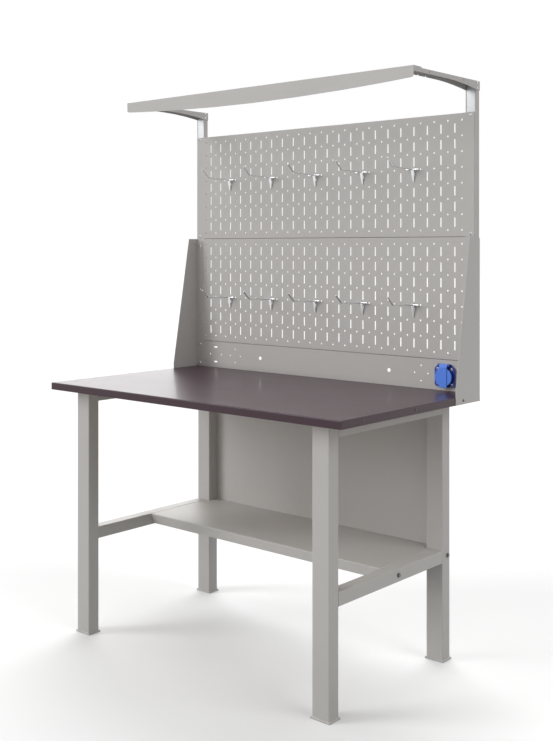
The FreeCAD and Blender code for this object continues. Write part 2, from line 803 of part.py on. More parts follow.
def make_panels():
    """Make the two pegboards and the service panel below them."""
    heights = post_screw_heights()
    slot_size = (size("slot_width"), size("slot_length"))
    boards = {
        "upper_pegboard": (UPPER_BASE, UPPER_TOP, heights["upper"]),
        "lower_pegboard": (LOWER_BASE, LOWER_TOP, heights["wing"][:2]),
    }
    for label, (base, top, screws) in boards.items():
        slots = [square_opening(x, z, *slot_size) for x, z in slot_places(base)]
        make_panel(label, base, top, slots + screw_openings(screws))

    openings = screw_openings(heights["wing"][2:])
    level = size(OUTLET)
    small = size("small_hole")
    spread = size("diamond_radius")
    for sign in SIDES.values():
        openings.append(round_hole(sign * size(f"{PANEL_HALF} - cable_hole_inset"), level, size("cable_hole")))
        middle = sign * size(f"{PANEL_HALF} - diamond_inset")
        for x, z in ((0, spread), (spread, 0), (0, -spread), (-spread, 0)):
            openings.append(round_hole(middle + x, level + z, small))
    knockout = -size(f"{PANEL_HALF} - knockout_inset")
    spread = size("knockout_radius")
    for turn in (-1, 1):
        openings.append(round_hole(knockout + turn * spread, level, small))
        openings.append(square_opening(knockout, level + turn * spread, size("knockout_slot"), small))
    x, z = size(SOCKET_X), size(SOCKET_HEIGHT)
    openings.append(sided_opening(x, z, "socket_collar / 2 + plug_clearance", ROUND_SIDES))
    openings += [screw_opening(*screw) for screw in socket_screw_places()]
    make_panel("service_panel", "worktop_height", SERVICE_TOP, openings)


def make_panel_screws():
    """Make the screws of the upper pegboard and of the wings' flanges."""
    shank = size("2 * sheet_steel + post_wall + screw_diameter")
    for group, label in (("upper", "pegboard_screws"), ("wing", "wing_flange_screws")):
        seat_y = PANEL_FRONT if group == "upper" else f"({PANEL_FRONT} - sheet_steel)"
        solids = []
        for sign in SIDES.values():
            for height in post_screw_heights()[group]:
                seat = point(f"{sign} * {PANEL_SCREW}", seat_y, height)
                solids.append(screw_solid(seat, VECTOR(0, 1, 0), shank))
        keep_group(label, solids)


def make_wings():
    """Make the tapered side wings with the flange that clamps the panels' ends."""
    front = f"({PANEL_FRONT} - wing_depth)"
    top_front = f"({PANEL_FRONT} - wing_top_depth)"
    rear = f"({REAR} - wing_setback)"
    nose = f"({TOP_UNDERSIDE} + wing_nose)"
    rear_value = size(rear)

    def rear_corner(middle, direction):
        return near(abs(direction.x), 1) and near(middle.y, rear_value)

    for side, sign in SIDES.items():
        name = f"{side}_wing"
        wing = new_body(name)
        low, high = span(side, HALF_WIDTH, f"({HALF_WIDTH} + sheet_steel)")
        outline = [
            (front, TOP_UNDERSIDE), (rear, TOP_UNDERSIDE), (rear, LOWER_TOP),
            (top_front, LOWER_TOP), (front, nose),
        ]
        add_pad(wing, "YZ_Plane", [outline], low, "sheet_steel")
        dress_edges(wing, "Fillet", "wing_corner", rear_corner)
        near_x, far_x = span(side, f"({HALF_WIDTH} - wing_flange)", f"({HALF_WIDTH} + sheet_steel)")
        flange_base = "(worktop_height + wing_flange_foot)"
        flange_top = f"({LOWER_TOP} - wing_corner)"
        flange = rectangle(near_x, far_x, f"{PANEL_FRONT} - sheet_steel", PANEL_FRONT)
        add_pad(wing, "XY_Plane", [flange], flange_base, f"{flange_top} - {flange_base}")
        holes = panel_screw_holes(sign, post_screw_heights()["wing"])
        holes.append(edge_screw_hole((side, "edge_screw_pitch")))
        keep(drill(wing, name, holes), name)


def arm_profile():
    """Return the side view of a lamp arm as a wire: level at the front, deepening in an arc to the rear."""
    front, rear = size(FASCIA_BACK), size(REAR)
    top = size("arm_top")
    shallow = top - size("arm_shallow")
    deep = top - size("arm_deep")
    bend = front + size("arm_straight")
    run = rear - bend
    drop = shallow - deep
    radius = (run ** 2 + drop ** 2) / (2 * drop)
    half_turn = math.asin(run / radius) / 2
    middle = VECTOR(0, bend + radius * math.sin(half_turn), shallow - radius * (1 - math.cos(half_turn)))
    corners = [VECTOR(0, bend, shallow), VECTOR(0, front, shallow), VECTOR(0, front, top),
               VECTOR(0, rear, top), VECTOR(0, rear, deep)]
    edges = [Part.makeLine(*pair) for pair in zip(corners, corners[1:])]
    edges.append(Part.Arc(corners[-1], middle, corners[0]).toShape())
    return Part.Wire(edges)


def make_arms():
    """Make the two lamp arms: folded channels that open downwards, drilled and notched."""
    sheet = size("arm_sheet")
    width = size("arm_width")
    front, rear, top = size(FASCIA_BACK), size(REAR), size("arm_top")
    for side, sign in SIDES.items():
        low = size(span(side, f"{HALF_WIDTH} - arm_width", HALF_WIDTH)[0])
        block = Part.Face(arm_profile()).extrude(VECTOR(width, 0, 0))
        block.translate(VECTOR(low, 0, 0))
        depth = size("2 * arm_deep")
        corner = VECTOR(low + sheet, front, top - sheet - depth)
        tools = [Part.makeBox(width - 2 * sheet, rear - front, depth, corner)]
        outer = sign * size(HALF_WIDTH)
        inward = VECTOR(-sign, 0, 0)
        for step in (0, 1):
            setback = size(f"arm_hole_front + {step} * arm_hole_pitch")
            seat = VECTOR(outer, front + setback, top - size("arm_shallow") / 2)
            tools.append(Part.makeCylinder(size("arm_hole") / 2, 2 * sheet, seat, inward))
        notch_width, notch_depth = size("notch_width"), size("notch_depth")
        inner_low = size(f"{sign} * ({HALF_WIDTH} - arm_width)") - sheet
        for share in (1, 2, 3):
            start = front + size("arm_straight") * share / 4
            corner = VECTOR(inner_low, start, top - size("arm_shallow") - notch_depth)
            tools.append(Part.makeBox(2 * sheet, notch_width, 2 * notch_depth, corner))
        arm = DOC.addObject("Part::Feature", f"{side}_arm_channel")
        arm.Shape = block.cut(tools).removeSplitter()
        keep(drill(arm, "arm", arm_screw_holes(sign)), f"{side}_lamp_arm")


def make_fascia():
    """Make the bowed front fascia with its returns wrapped round the arms."""
    name = "lamp_fascia"
    half = f"({HALF_WIDTH} + arm_sheet)"
    fascia = new_body(name)
    base = f"({FASCIA_TOP} - fascia_end - fascia_sag)"
    plate = rectangle(f"-{half}", half, base, FASCIA_TOP)
    add_pad(fascia, "XZ_Plane", [plate], FASCIA_FRONT, "arm_sheet")
    for side in SIDES:
        low, high = span(side, HALF_WIDTH, half)
        strip = rectangle(FASCIA_FRONT, f"{FASCIA_BACK} + return_length",
                          f"{FASCIA_TOP} - return_height", FASCIA_TOP)
        add_pad(fascia, "YZ_Plane", [strip], low, "arm_sheet")
    back, top = size(f"{FASCIA_BACK} + return_length"), size(FASCIA_TOP)

    def return_corner(middle, direction):
        return near(middle.y, back) and near(middle.z, top)

    dress_edges(fascia, "Fillet", "fascia_corner", return_corner)
    bow = f"(({half} ^ 2 + fascia_sag ^ 2) / (2 * fascia_sag))"
    disc = add_cylinder(f"2 * {bow}", "return_length + arm_sheet", VECTOR(0, 1, 0),
                        "0", FASCIA_FRONT, f"{base} + {bow}")
    bowed = DOC.addObject("Part::Common", name + "_bowed")
    bowed.Base = fascia
    bowed.Tool = disc
    DOC.recompute()
    keep(bowed, name)


def make_arm_screws():
    """Make the screws that hold the arms to the uprights."""
    grip = size("arm_sheet + upright_wall + post_wall + 2 * nest_clearance")
    solids = []
    for sign in SIDES.values():
        for seat, direction in arm_screw_seats(sign):
            for drop in arm_screw_drops():
                solids.append(screw_solid(point(seat, ARM_SCREW_Y, f"arm_top - {drop}"), direction, grip))
    keep_group("arm_screws", solids)


def hook_shape():
    """Return one hook about the place where its crossbar's row meets the panel's front."""
    standoff = size("hook_standoff")
    wire = size("hook_wire") / 2
    half_bar = size("hook_bar") / 2
    bar = prism(wire, WIRE_SIDES, -half_bar, half_bar)
    start = VECTOR(0, -standoff, 0)
    bar.Placement = FreeCAD.Placement(start, FreeCAD.Rotation(VECTOR(0, 0, 1), VECTOR(1, 0, 0)))
    knee = VECTOR(0, -size("hook_reach"), size("hook_rise"))
    tip = knee + VECTOR(0, -size("hook_tip_reach"), size("hook_tip_rise"))
    shank = bent_wire(start, knee, tip, size("hook_bend"), wire)

    half_pitch = size("hole_pitch") / 2
    half_slot = size("slot_length") / 2
    gap = size("hook_clearance")
    sheet = size("sheet_steel")
    slot_base = -half_pitch - half_slot
    seat = slot_base + gap
    crown = -half_pitch + half_slot - size("hook_lift") - gap - wire
    claw_tip = slot_base - size("hook_claw")
    back = sheet + gap
    half_plate = size("hook_plate") / 2
    foot = -gap - 2 * half_plate
    tongue = sheet_profile(
        [(-standoff - half_plate, 0), (-standoff + half_plate, 0), (-gap, crown), (-gap, seat), (foot, seat)],
        size("hook_tongue"))
    taper = tongue_taper(size("hook_tongue") / 2, size("hook_neck") / 2, seat)
    neck = sheet_profile(
        [(foot, crown), (foot, seat), (back, seat), (back, claw_tip), (back + 2 * sheet, claw_tip),
         (back + 2 * sheet, crown)],
        size("hook_neck"))
    return bar.multiFuse([shank, tongue.common(taper), neck]).removeSplitter()


def sheet_profile(corners, width):
    """Return a plate with the given corners in the YZ plane, centred across X."""
    outline = [VECTOR(-width / 2, y, z) for y, z in corners]
    return Part.Face(Part.makePolygon(outline + outline[:1])).extrude(VECTOR(width, 0, 0))


def tongue_taper(half_top, half_base, base):
    """Return the block that narrows the tongue of a hook from its bar down to its neck."""
    front = -size("hook_reach")
    outline = [VECTOR(-half_top, front, 0), VECTOR(half_top, front, 0),
               VECTOR(half_base, front, base), VECTOR(-half_base, front, base)]
    return Part.Face(Part.makePolygon(outline + outline[:1])).extrude(VECTOR(0, -front, 0))


def bent_wire(start, knee, tip, bend, radius):
    """Return a six-sided wire whose one bend is turned in two mitred steps."""
    before = (start - knee).normalize()
    after = (tip - knee).normalize()
    half_angle = before.getAngle(after) / 2
    setback = bend / math.tan(half_angle)
    path = Part.makePolygon([start, knee + before * setback, knee + after * setback, tip])
    ring = Part.makePolygon(ring_corners(radius, WIRE_SIDES))
    ring.Placement = FreeCAD.Placement(start, FreeCAD.Rotation(VECTOR(0, 0, 1), before * -1))
    return path.makePipeShell([ring], True, False, 1)


def make_hooks():
    """Make five hooks in each pegboard, each one hung in a slot by its claw."""
    shape = hook_shape()
    rows = {"upper": f"({UPPER_BASE} + perforation_edge + 4 * hole_pitch)",
            "lower": f"({LOWER_BASE} + perforation_edge + 3 * hole_pitch)"}
    columns = slot_columns()[COLUMN_COUNT_TO_HOOK::COLUMN_COUNT_PER_HOOK]
    for level, height in rows.items():
        for number in range(HOOKS_IN_ROW):
            label = f"{level}_hook_{number + 1}"
            hook = DOC.addObject("Part::Feature", label)
            hook.Shape = shape
            place(hook, f"{columns[number]}", PANEL_FRONT, height)
            keep(hook, label)


def socket_screw_places():
    """Return the X and Z of the four screws of the socket."""
    x, z = size(SOCKET_X), size(SOCKET_HEIGHT)
    half = size("socket_screw_pitch") / 2
    return [(x + across * half, z + along * half) for across in (-1, 1) for along in (-1, 1)]


def socket_disc(diameter, front, rear):
    """Return a many-sided disc about the socket's axis between two Y formulas."""
    disc = prism(size(diameter) / 2, ROUND_SIDES, size(front), size(rear))
    disc.Placement = FreeCAD.Placement(point(SOCKET_X, "0", SOCKET_HEIGHT),
                                       FreeCAD.Rotation(VECTOR(0, 0, 1), VECTOR(0, 1, 0)))
    return disc


def socket_plate(label, inset, start, thickness, hole, corner_kind):
    """Make a plate with shoulders under the hinge, dressed corners, a large hole and four screw holes."""
    body = new_body(label)
    half = f"(socket_plate / 2 - {inset})"
    low_x, high_x = f"({SOCKET_X} - {half})", f"({SOCKET_X} + {half})"
    base = f"({SOCKET_HEIGHT} - socket_plate_drop + {inset})"
    top = f"({SOCKET_HEIGHT} - socket_plate_drop + socket_plate - {inset})"
    shoulder = "socket_plate_shoulder"
    outline = [
        (low_x, base), (high_x, base), (high_x, f"{top} - {shoulder}"), (f"{high_x} - {shoulder}", top),
        (f"{low_x} + {shoulder}", top), (low_x, f"{top} - {shoulder}"),
    ]
    add_pad(body, "XZ_Plane", [outline], start, thickness)
    dress_edges(body, corner_kind, "socket_plate_corner", lambda middle, direction: near(abs(direction.y), 1))
    along = VECTOR(0, 1, 0)
    length = f"2 * {thickness}"
    tools = [sided_hole(ROUND_SIDES, f"({hole}) / 2", length, along, SOCKET_X, start, SOCKET_HEIGHT)]
    for across in (-1, 1):
        for rise in (-1, 1):
            screw_x = f"{SOCKET_X} + {across} * socket_screw_pitch / 2"
            screw_z = f"{SOCKET_HEIGHT} + {rise} * socket_screw_pitch / 2"
            tools.append(screw_hole(length, along, screw_x, start, screw_z))
    return drill(body, label, tools)


def hinge_bar(diameter, low, length):
    """Return a round bar on the lid's hinge axis from a place along X."""
    start = VECTOR(low, size(HINGE_Y), size(HINGE_Z))
    return Part.makeCylinder(size(diameter) / 2, length, start, VECTOR(1, 0, 0))


def make_socket():
    """Make the socket outlet: gasket, flange with hinge knuckles, insert, earth clips and screws."""
    inside = "socket_collar - 2 * socket_collar_wall"
    gasket = socket_plate("gasket", "gasket_inset", SOCKET_SEAT, "socket_gasket", "socket_collar", "Chamfer")
    keep(gasket, "socket_gasket")

    plate = socket_plate("flange_plate", "0", SOCKET_FACE, "socket_plate_thickness", inside, "Fillet")
    collar = socket_disc("socket_collar", COLLAR_FACE, SOCKET_FACE)
    pieces = [collar.cut(socket_disc(inside, COLLAR_FACE, SOCKET_FACE))]
    bores = []
    x = size(SOCKET_X)
    radius = size(HINGE_RADIUS)
    knuckle = size("hinge_knuckle")
    for sign in (-1, 1):
        near_x = sign * size("hinge_lug / 2 + hinge_clearance")
        low = x + min(near_x, near_x + sign * knuckle)
        corner = VECTOR(low, size(HINGE_Y), size(HINGE_Z) - radius)
        web = Part.makeBox(knuckle, size(f"{SOCKET_FACE} - {HINGE_Y}"), 2 * radius, corner)
        pieces += [hinge_bar(f"2 * {HINGE_RADIUS}", low, knuckle), web]
        bores.append(hinge_bar("hinge_pin", low, knuckle))
    flange = DOC.addObject("Part::Feature", "socket_flange")
    flange.Shape = plate.Shape.multiFuse(pieces).cut(bores).removeSplitter()
    keep(flange, "socket_flange")

    pin_length = size("hinge_lug + 2 * hinge_clearance + 2 * hinge_knuckle")
    pin = DOC.addObject("Part::Feature", "socket_hinge_pin")
    pin.Shape = hinge_bar("hinge_pin", x - pin_length / 2, pin_length)
    keep(pin, "socket_hinge_pin")

    make_socket_insert(inside)
    solids = [screw_solid(VECTOR(screw_x, size(SOCKET_FACE), screw_z), VECTOR(0, 1, 0),
                          size("socket_plate_thickness + socket_gasket + 2 * sheet_steel"))
              for screw_x, screw_z in socket_screw_places()]
    keep_group("socket_screws", solids)


def make_socket_insert(inside):
    """Make the well that takes the plug, its rear cap and the two earth clips."""
    x, z = size(SOCKET_X), size(SOCKET_HEIGHT)
    along = VECTOR(0, 1, 0)
    floor = f"({COLLAR_FACE} + socket_well_depth)"
    back = f"({floor} + socket_floor)"
    outer = f"{inside} - 2 * plug_clearance"
    mouth = point(SOCKET_X, COLLAR_FACE, SOCKET_HEIGHT)
    tools = [Part.makeCylinder(size("socket_well") / 2, size("socket_well_depth"), mouth, along)]
    for sign in (-1, 1):
        start = VECTOR(x + sign * size("socket_pin_pitch") / 2, size(floor), z)
        tools.append(Part.makeCylinder(size("socket_pin_hole") / 2, size("socket_floor"), start, along))
    insert = DOC.addObject("Part::Feature", "socket_insert")
    insert.Shape = socket_disc(outer, COLLAR_FACE, back).cut(tools).removeSplitter()
    keep(insert, "socket_insert")

    cap = DOC.addObject("Part::Feature", "socket_rear_cap")
    cap.Shape = socket_disc(outer, back, f"{back} + socket_cap")
    keep(cap, "socket_rear_cap")

    width, length, sheet = size("earth_clip_width"), size("earth_clip_length"), size("earth_clip_sheet")
    reach = size("socket_well") / 2
    clips = []
    for sign in (-1, 1):
        level = z + sign * (math.sqrt(reach ** 2 - (width / 2) ** 2) - sheet / 2) - sheet / 2
        corner = VECTOR(x - width / 2, size(floor) - length, level)
        clips.append(Part.makeBox(width, length, sheet, corner))
    keep_group("socket_earth_clips", clips)


def lid_disc(radius, wall, edge):
    """Return the lid's round plate about Z, its face at the origin, with a chamfered front edge."""
    corners = [VECTOR(0, 0, 0), VECTOR(radius - edge, 0, 0), VECTOR(radius, 0, edge),
               VECTOR(radius, 0, wall), VECTOR(0, 0, wall)]
    profile = Part.Face(Part.makePolygon(corners + corners[:1]))
    return Part.makeSolid(profile.revolve(VECTOR(0, 0, 0), VECTOR(0, 0, 1), 360))


def make_lid():
    """Make the sprung round lid: a rimmed disc under a raised band from its hinge lug to its finger tab."""
    x, z = size(SOCKET_X), size(SOCKET_HEIGHT)
    radius, wall, depth = size("lid_diameter") / 2, size("lid_wall"), size("lid_depth")
    face = size(LID_FACE)
    plate = lid_disc(radius, depth, size("lid_edge"))
    plate.Placement = FreeCAD.Placement(VECTOR(x, face, z), FreeCAD.Rotation(VECTOR(0, 0, 1), VECTOR(0, 1, 0)))
    hollow = socket_disc("lid_diameter - 2 * lid_wall", f"{LID_FACE} + lid_wall", f"{LID_FACE} + lid_depth")

    axis_y, axis_z = size(HINGE_Y), size(HINGE_Z)
    lug = size("hinge_lug")
    rise = size("lid_band_rise")
    barrel_radius = size(HINGE_RADIUS)
    base = z - radius - size("lid_tab")
    side_view = [
        VECTOR(x - lug / 2, face - rise, base), VECTOR(x - lug / 2, face + wall, base),
        VECTOR(x - lug / 2, face + wall, z + radius - wall), VECTOR(x - lug / 2, axis_y, z + radius - wall),
        VECTOR(x - lug / 2, axis_y, axis_z + barrel_radius),
        VECTOR(x - lug / 2, face - rise, axis_z - barrel_radius),
    ]
    band = Part.Face(Part.makePolygon(side_view + side_view[:1])).extrude(VECTOR(lug, 0, 0))
    barrel = hinge_bar(f"2 * {HINGE_RADIUS}", x - lug / 2, lug)
    bore = hinge_bar("hinge_pin + 2 * hinge_clearance", x - lug / 2, lug)
    lid = DOC.addObject("Part::Feature", "socket_lid")
    lid.Shape = plate.cut(hollow).multiFuse([barrel, band]).cut(bore).removeSplitter()
    keep(lid, "socket_lid")


def write_parts():
    """Check every object and write each sub-part to its own file."""
    DOC.recompute()
    for item in DOC.Objects:
        if "Invalid" in item.State or "Error" in item.State:
            raise ValueError(f"{item.Name} failed: {item.State}")
    for item in PARTS:
        if item.Shape.isNull() or not item.Shape.isValid():
            raise ValueError(f"{item.Label} has no valid shape")
    os.makedirs("parts", exist_ok=True)
    for item in PARTS:
        item.Shape.exportStep(f"parts/{item.Label}.step")


def main():
    """Build the whole workbench."""
    fill_sheet()
    make_worktop()
    make_edge_screws()
    make_legs()
    make_rails()
    make_shelf()
    make_back_panel()
    make_bolts()
    make_uprights()
    make_panels()
    make_panel_screws()
    make_wings()
    make_arms()
    make_fascia()
    make_arm_screws()
    make_hooks()
    make_socket()
    make_lid()
    write_parts()


main()
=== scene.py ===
"""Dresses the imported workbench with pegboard: finishes, boards, hooks, fasteners, lid and studio."""
import logging
import math
from dataclasses import dataclass
from enum import Enum
from typing import Any, Iterable, Sequence

import bmesh
import bpy
from bmesh.types import BMEdge, BMesh, BMFace, BMVert
from bpy.types import Material, Mesh, NodeSocket, NodeTree, Object
from mathutils import Matrix, Vector


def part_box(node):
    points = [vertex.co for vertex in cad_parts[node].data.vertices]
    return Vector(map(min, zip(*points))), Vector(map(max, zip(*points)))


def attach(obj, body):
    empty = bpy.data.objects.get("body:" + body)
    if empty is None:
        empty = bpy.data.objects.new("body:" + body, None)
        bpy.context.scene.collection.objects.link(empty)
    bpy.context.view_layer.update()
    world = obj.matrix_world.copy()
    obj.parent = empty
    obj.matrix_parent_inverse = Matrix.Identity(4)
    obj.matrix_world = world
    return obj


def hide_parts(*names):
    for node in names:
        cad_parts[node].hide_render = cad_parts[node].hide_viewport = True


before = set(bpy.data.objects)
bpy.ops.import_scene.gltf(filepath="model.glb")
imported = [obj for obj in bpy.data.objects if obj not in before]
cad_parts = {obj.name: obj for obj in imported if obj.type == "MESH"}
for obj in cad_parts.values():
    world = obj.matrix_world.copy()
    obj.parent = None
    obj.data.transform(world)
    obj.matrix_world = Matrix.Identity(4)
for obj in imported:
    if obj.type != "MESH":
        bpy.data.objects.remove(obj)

LOG = logging.getLogger("workbench")
Colour = tuple[float, float, float]
WHITE = (1.0, 1.0, 1.0, 1.0)
MM = 0.001
ACROSS = Vector((1, 0, 0))
BACK = Vector((0, 1, 0))
UP = Vector((0, 0, 1))
QUARTER_TURN = math.pi / 2
FULL_TURN = 2 * math.pi

# Edges that turn by more than the first angle shade sharply, by more than the second are rounded, and by less
# than the third are dissolved.
SHARP_ANGLE = math.radians(32)
SQUARE_ANGLE = math.radians(40)
FLAT_ANGLE = math.radians(1)

# A face looks along an axis where its normal's share along it is more than this.
FLAT_ON = 0.99

# Corners nearer than this are one, and levels along an axis are told apart to this many decimals.
TOUCH = 1e-6
LEVEL_DECIMALS = 6

# A fastener's corners lie in this many levels along its shank: its end, its seat and its top.
SHANK_LEVELS = 3

# The longest edge across a sheet's thickness, the least breadth of the faces beside a fold, and the shortest
# edge that is rounded as a fold or rim.
SHEET_EDGE = 2.2 * MM
BROAD_FACE = 3 * MM
LONG_EDGE = 12 * MM

# Steps round a corner, a fold and any other edge.
CORNER_STEPS = 5
FOLD_STEPS = 3
EDGE_STEPS = 2


class Slot(Enum):
    """The record's material slots."""

    GREY = "grey_paint"
    TOP = "worktop_steel"
    BOARD = "board"
    ZINC = "zinc"
    DARK = "dark_steel"
    FEET = "feet"
    FLANGE = "socket_blue"
    LID = "lid_blue"
    GASKET = "gasket"
    INSERT = "socket_dark"


class Recess(Enum):
    """The drive of a screw's head, by its number of sides."""

    HEXAGON = 6
    SQUARE = 4


def supply(tree: NodeTree, target: NodeSocket, value: Any) -> None:
    """Feed an input from another node's socket, or set its plain value.

    Args:
        tree: The node tree that holds the input.
        target: The input.
        value: A socket or a plain value.
    """
    if isinstance(value, NodeSocket):
        tree.links.new(value, target)
    else:
        target.default_value = value


def add_node(tree: NodeTree, kind: str, **values: Any) -> bpy.types.Node:
    """Add a node, set its properties and feed its inputs.

    Args:
        tree: The node tree that gets the node.
        kind: The node's type name.
        values: Properties by name; any other name is an input, with underscores for its spaces.

    Returns:
        The new node.
    """
    node = tree.nodes.new(kind)
    for name, value in values.items():
        if hasattr(node, name):
            setattr(node, name, value)
        else:
            supply(tree, node.inputs[name.replace("_", " ")], value)
    return node


def arithmetic(tree: NodeTree, operation: str, first: NodeSocket, second: NodeSocket | float) -> NodeSocket:
    """Add a node that works out one value from two.

    Args:
        tree: The node tree that gets the node.
        operation: The name of the operation.
        first: The first value's socket.
        second: The second value, or its socket.

    Returns:
        The result's socket.
    """
    node = add_node(tree, "ShaderNodeMath", operation=operation)
    supply(tree, node.inputs[0], first)
    supply(tree, node.inputs[1], second)
    return node.outputs[0]


def open_group(name: str, inputs: Sequence[str], outputs: Sequence[str]) -> tuple[NodeTree, Any, Any]:
    """Start a shared group that takes a place on the piece and some values.

    Args:
        name: The group's name.
        inputs: Names of the values that it takes after the place, which is Vector.
        outputs: Names of the values that it gives.

    Returns:
        The group's tree, and the sockets inside it that give its inputs and take its outputs.
    """
    tree = bpy.data.node_groups.new(name, "ShaderNodeTree")
    tree.interface.new_socket("Vector", in_out="INPUT", socket_type="NodeSocketVector")
    for label in inputs:
        tree.interface.new_socket(label, in_out="INPUT", socket_type="NodeSocketFloat")
    for label in outputs:
        tree.interface.new_socket(label, in_out="OUTPUT", socket_type="NodeSocketFloat")
    return tree, add_node(tree, "NodeGroupInput").outputs, add_node(tree, "NodeGroupOutput").inputs


def surface_grain() -> NodeTree:
    """Make, once, the shared group for the skin and the unevenness of a coat or moulding.

    Returns:
        The group, which gives the fine skin as Height and the broad unevenness as Mottle.
    """
    name = "surface_grain"
    if name in bpy.data.node_groups:
        return bpy.data.node_groups[name]
    tree, start, end = open_group(name, ("Fine", "Broad"), ("Height", "Mottle"))
    place = start["Vector"]
    noise = "ShaderNodeTexNoise"
    fine = add_node(tree, noise, Vector=place, Scale=start["Fine"], Detail=2.0, Roughness=0.55)
    broad = add_node(tree, noise, Vector=place, Scale=start["Broad"], Detail=4.0, Roughness=0.6)
    supply(tree, end["Height"], fine.outputs["Fac"])
    supply(tree, end["Mottle"], broad.outputs["Fac"])
    return tree


def settled_dust() -> NodeTree:
    """Make, once, the shared group for faint dust on faces that look up.

    Returns:
        The group, which gives the dust as Mask.
    """
    name = "settled_dust"
    if name in bpy.data.node_groups:
        return bpy.data.node_groups[name]
    tree, start, end = open_group(name, ("Amount",), ("Mask",))
    facing = add_node(tree, "ShaderNodeNewGeometry").outputs["Normal"]
    split = add_node(tree, "ShaderNodeSeparateXYZ", Vector=facing)
    upward = arithmetic(tree, "MAXIMUM", split.outputs["Z"], 0.0)
    cloud = add_node(
        tree, "ShaderNodeTexNoise", Vector=start["Vector"], Scale=9.0, Detail=5.0, Roughness=0.65)
    patch = add_node(tree, "ShaderNodeMapRange", Value=cloud.outputs["Fac"], From_Min=0.35, From_Max=0.75)
    settled = arithmetic(tree, "MULTIPLY", upward, patch.outputs["Result"])
    supply(tree, end["Mask"], arithmetic(tree, "MULTIPLY", settled, start["Amount"]))
    return tree


def opaque(colour: Colour) -> tuple[float, float, float, float]:
    """Return a colour with its alpha."""
    return (*colour, 1.0)


def shades(colour: Colour, spread: float) -> tuple[Any, Any]:
    """Work out a darker and a lighter shade of a colour.

    Args:
        colour: Red, green and blue.
        spread: The share by which each shade departs from the colour.

    Returns:
        The dark and the light shade with their alpha.
    """
    dark = tuple(channel * (1 - spread) for channel in colour)
    light = tuple(min(1.0, channel * (1 + spread)) for channel in colour)
    return opaque(dark), opaque(light)


class Ground:
    """A new material with its shader, and the steps that the finishes share."""

    def __init__(self, name: str) -> None:
        """Make the material with its shader and the place on the piece.

        Args:
            name: The material's name.
        """
        self.material = bpy.data.materials.new(name)
        self.material.use_nodes = True
        self.tree = self.material.node_tree
        self.shader = self.tree.nodes["Principled BSDF"]
        self.place = add_node(self.tree, "ShaderNodeTexCoord").outputs["Object"]

    def shade(self, **values: Any) -> None:
        """Set or feed the shader's own inputs, with underscores for the spaces in their names."""
        for name, value in values.items():
            supply(self.tree, self.shader.inputs[name.replace("_", " ")], value)

    def stretched(self, scale: Sequence[float], turn: float = 0.0) -> NodeSocket:
        """Turn and stretch the place on the piece for a pattern with a direction.

        Args:
            scale: How often the pattern repeats along each axis.
            turn: The angle about Z.

        Returns:
            The new place's socket.
        """
        node = add_node(
            self.tree, "ShaderNodeMapping", Vector=self.place, Rotation=(0, 0, turn), Scale=scale)
        return node.outputs["Vector"]

    def grain(self, broad: float, fine: float = 0.0) -> Any:
        """Place the shared grain group.

        Args:
            broad: Scale of the unevenness.
            fine: Scale of the skin, where the finish uses it.

        Returns:
            The group's outputs.
        """
        node = add_node(
            self.tree, "ShaderNodeGroup", node_tree=surface_grain(), Vector=self.place, Fine=fine,
            Broad=broad)
        return node.outputs

    def blend(self, mask: NodeSocket, first: Any, second: Any) -> NodeSocket:
        """Blend two colours by a mask.

        Args:
            mask: The socket that blends.
            first: The colour at 0, or its socket.
            second: The colour at 1.

        Returns:
            The blended colour's socket.
        """
        node = add_node(self.tree, "ShaderNodeMix", data_type="RGBA", Factor=mask)
        low, high = [socket for socket in node.inputs if socket.type == "RGBA"]
        supply(self.tree, low, first)
        supply(self.tree, high, second)
        return next(socket for socket in node.outputs if socket.type == "RGBA")

    def gloss(self, mask: NodeSocket, low: float, high: float) -> None:
        """Let the roughness wander between two values.

        Args:
            mask: The socket that it follows.
            low: The roughness where the mask is low.
            high: The roughness where the mask is high.
        """
        span = add_node(
            self.tree, "ShaderNodeMapRange", Value=mask, From_Min=0.3, From_Max=0.7, To_Min=low, To_Max=high)
        self.shade(Roughness=span.outputs["Result"])

    def ripple(self, height: NodeSocket, depth: float) -> None:
        """Turn a height into a bump of a depth in metres."""
        bump = add_node(self.tree, "ShaderNodeBump", Strength=1.0, Distance=depth, Height=height)
        self.shade(Normal=bump.outputs["Normal"])


@dataclass(frozen=True)
class PowderCoat:
    """A satin powder coat with orange peel and faint dust."""

    name: str
    colour: Colour
    smooth: float = 0.42
    rough: float = 0.56
    dust: float = 0.10
    dust_colour: Colour = (0.62, 0.60, 0.56)
    spread: float = 0.035
    mottle_scale: float = 7.0
    peel_scale: float = 420.0
    peel: float = 0.06 * MM

    def material(self) -> Material:
        """Make the coat's material.

        Returns:
            The material.
        """
        ground = Ground(self.name)
        grain = ground.grain(self.mottle_scale, self.peel_scale)
        dust = add_node(
            ground.tree, "ShaderNodeGroup", node_tree=settled_dust(), Vector=ground.place, Amount=self.dust)
        coat = ground.blend(grain["Mottle"], *shades(self.colour, self.spread))
        ground.shade(Base_Color=ground.blend(dust.outputs["Mask"], coat, opaque(self.dust_colour)))
        ground.gloss(grain["Mottle"], self.smooth, self.rough)
        ground.ripple(grain["Height"], self.peel)
        return ground.material


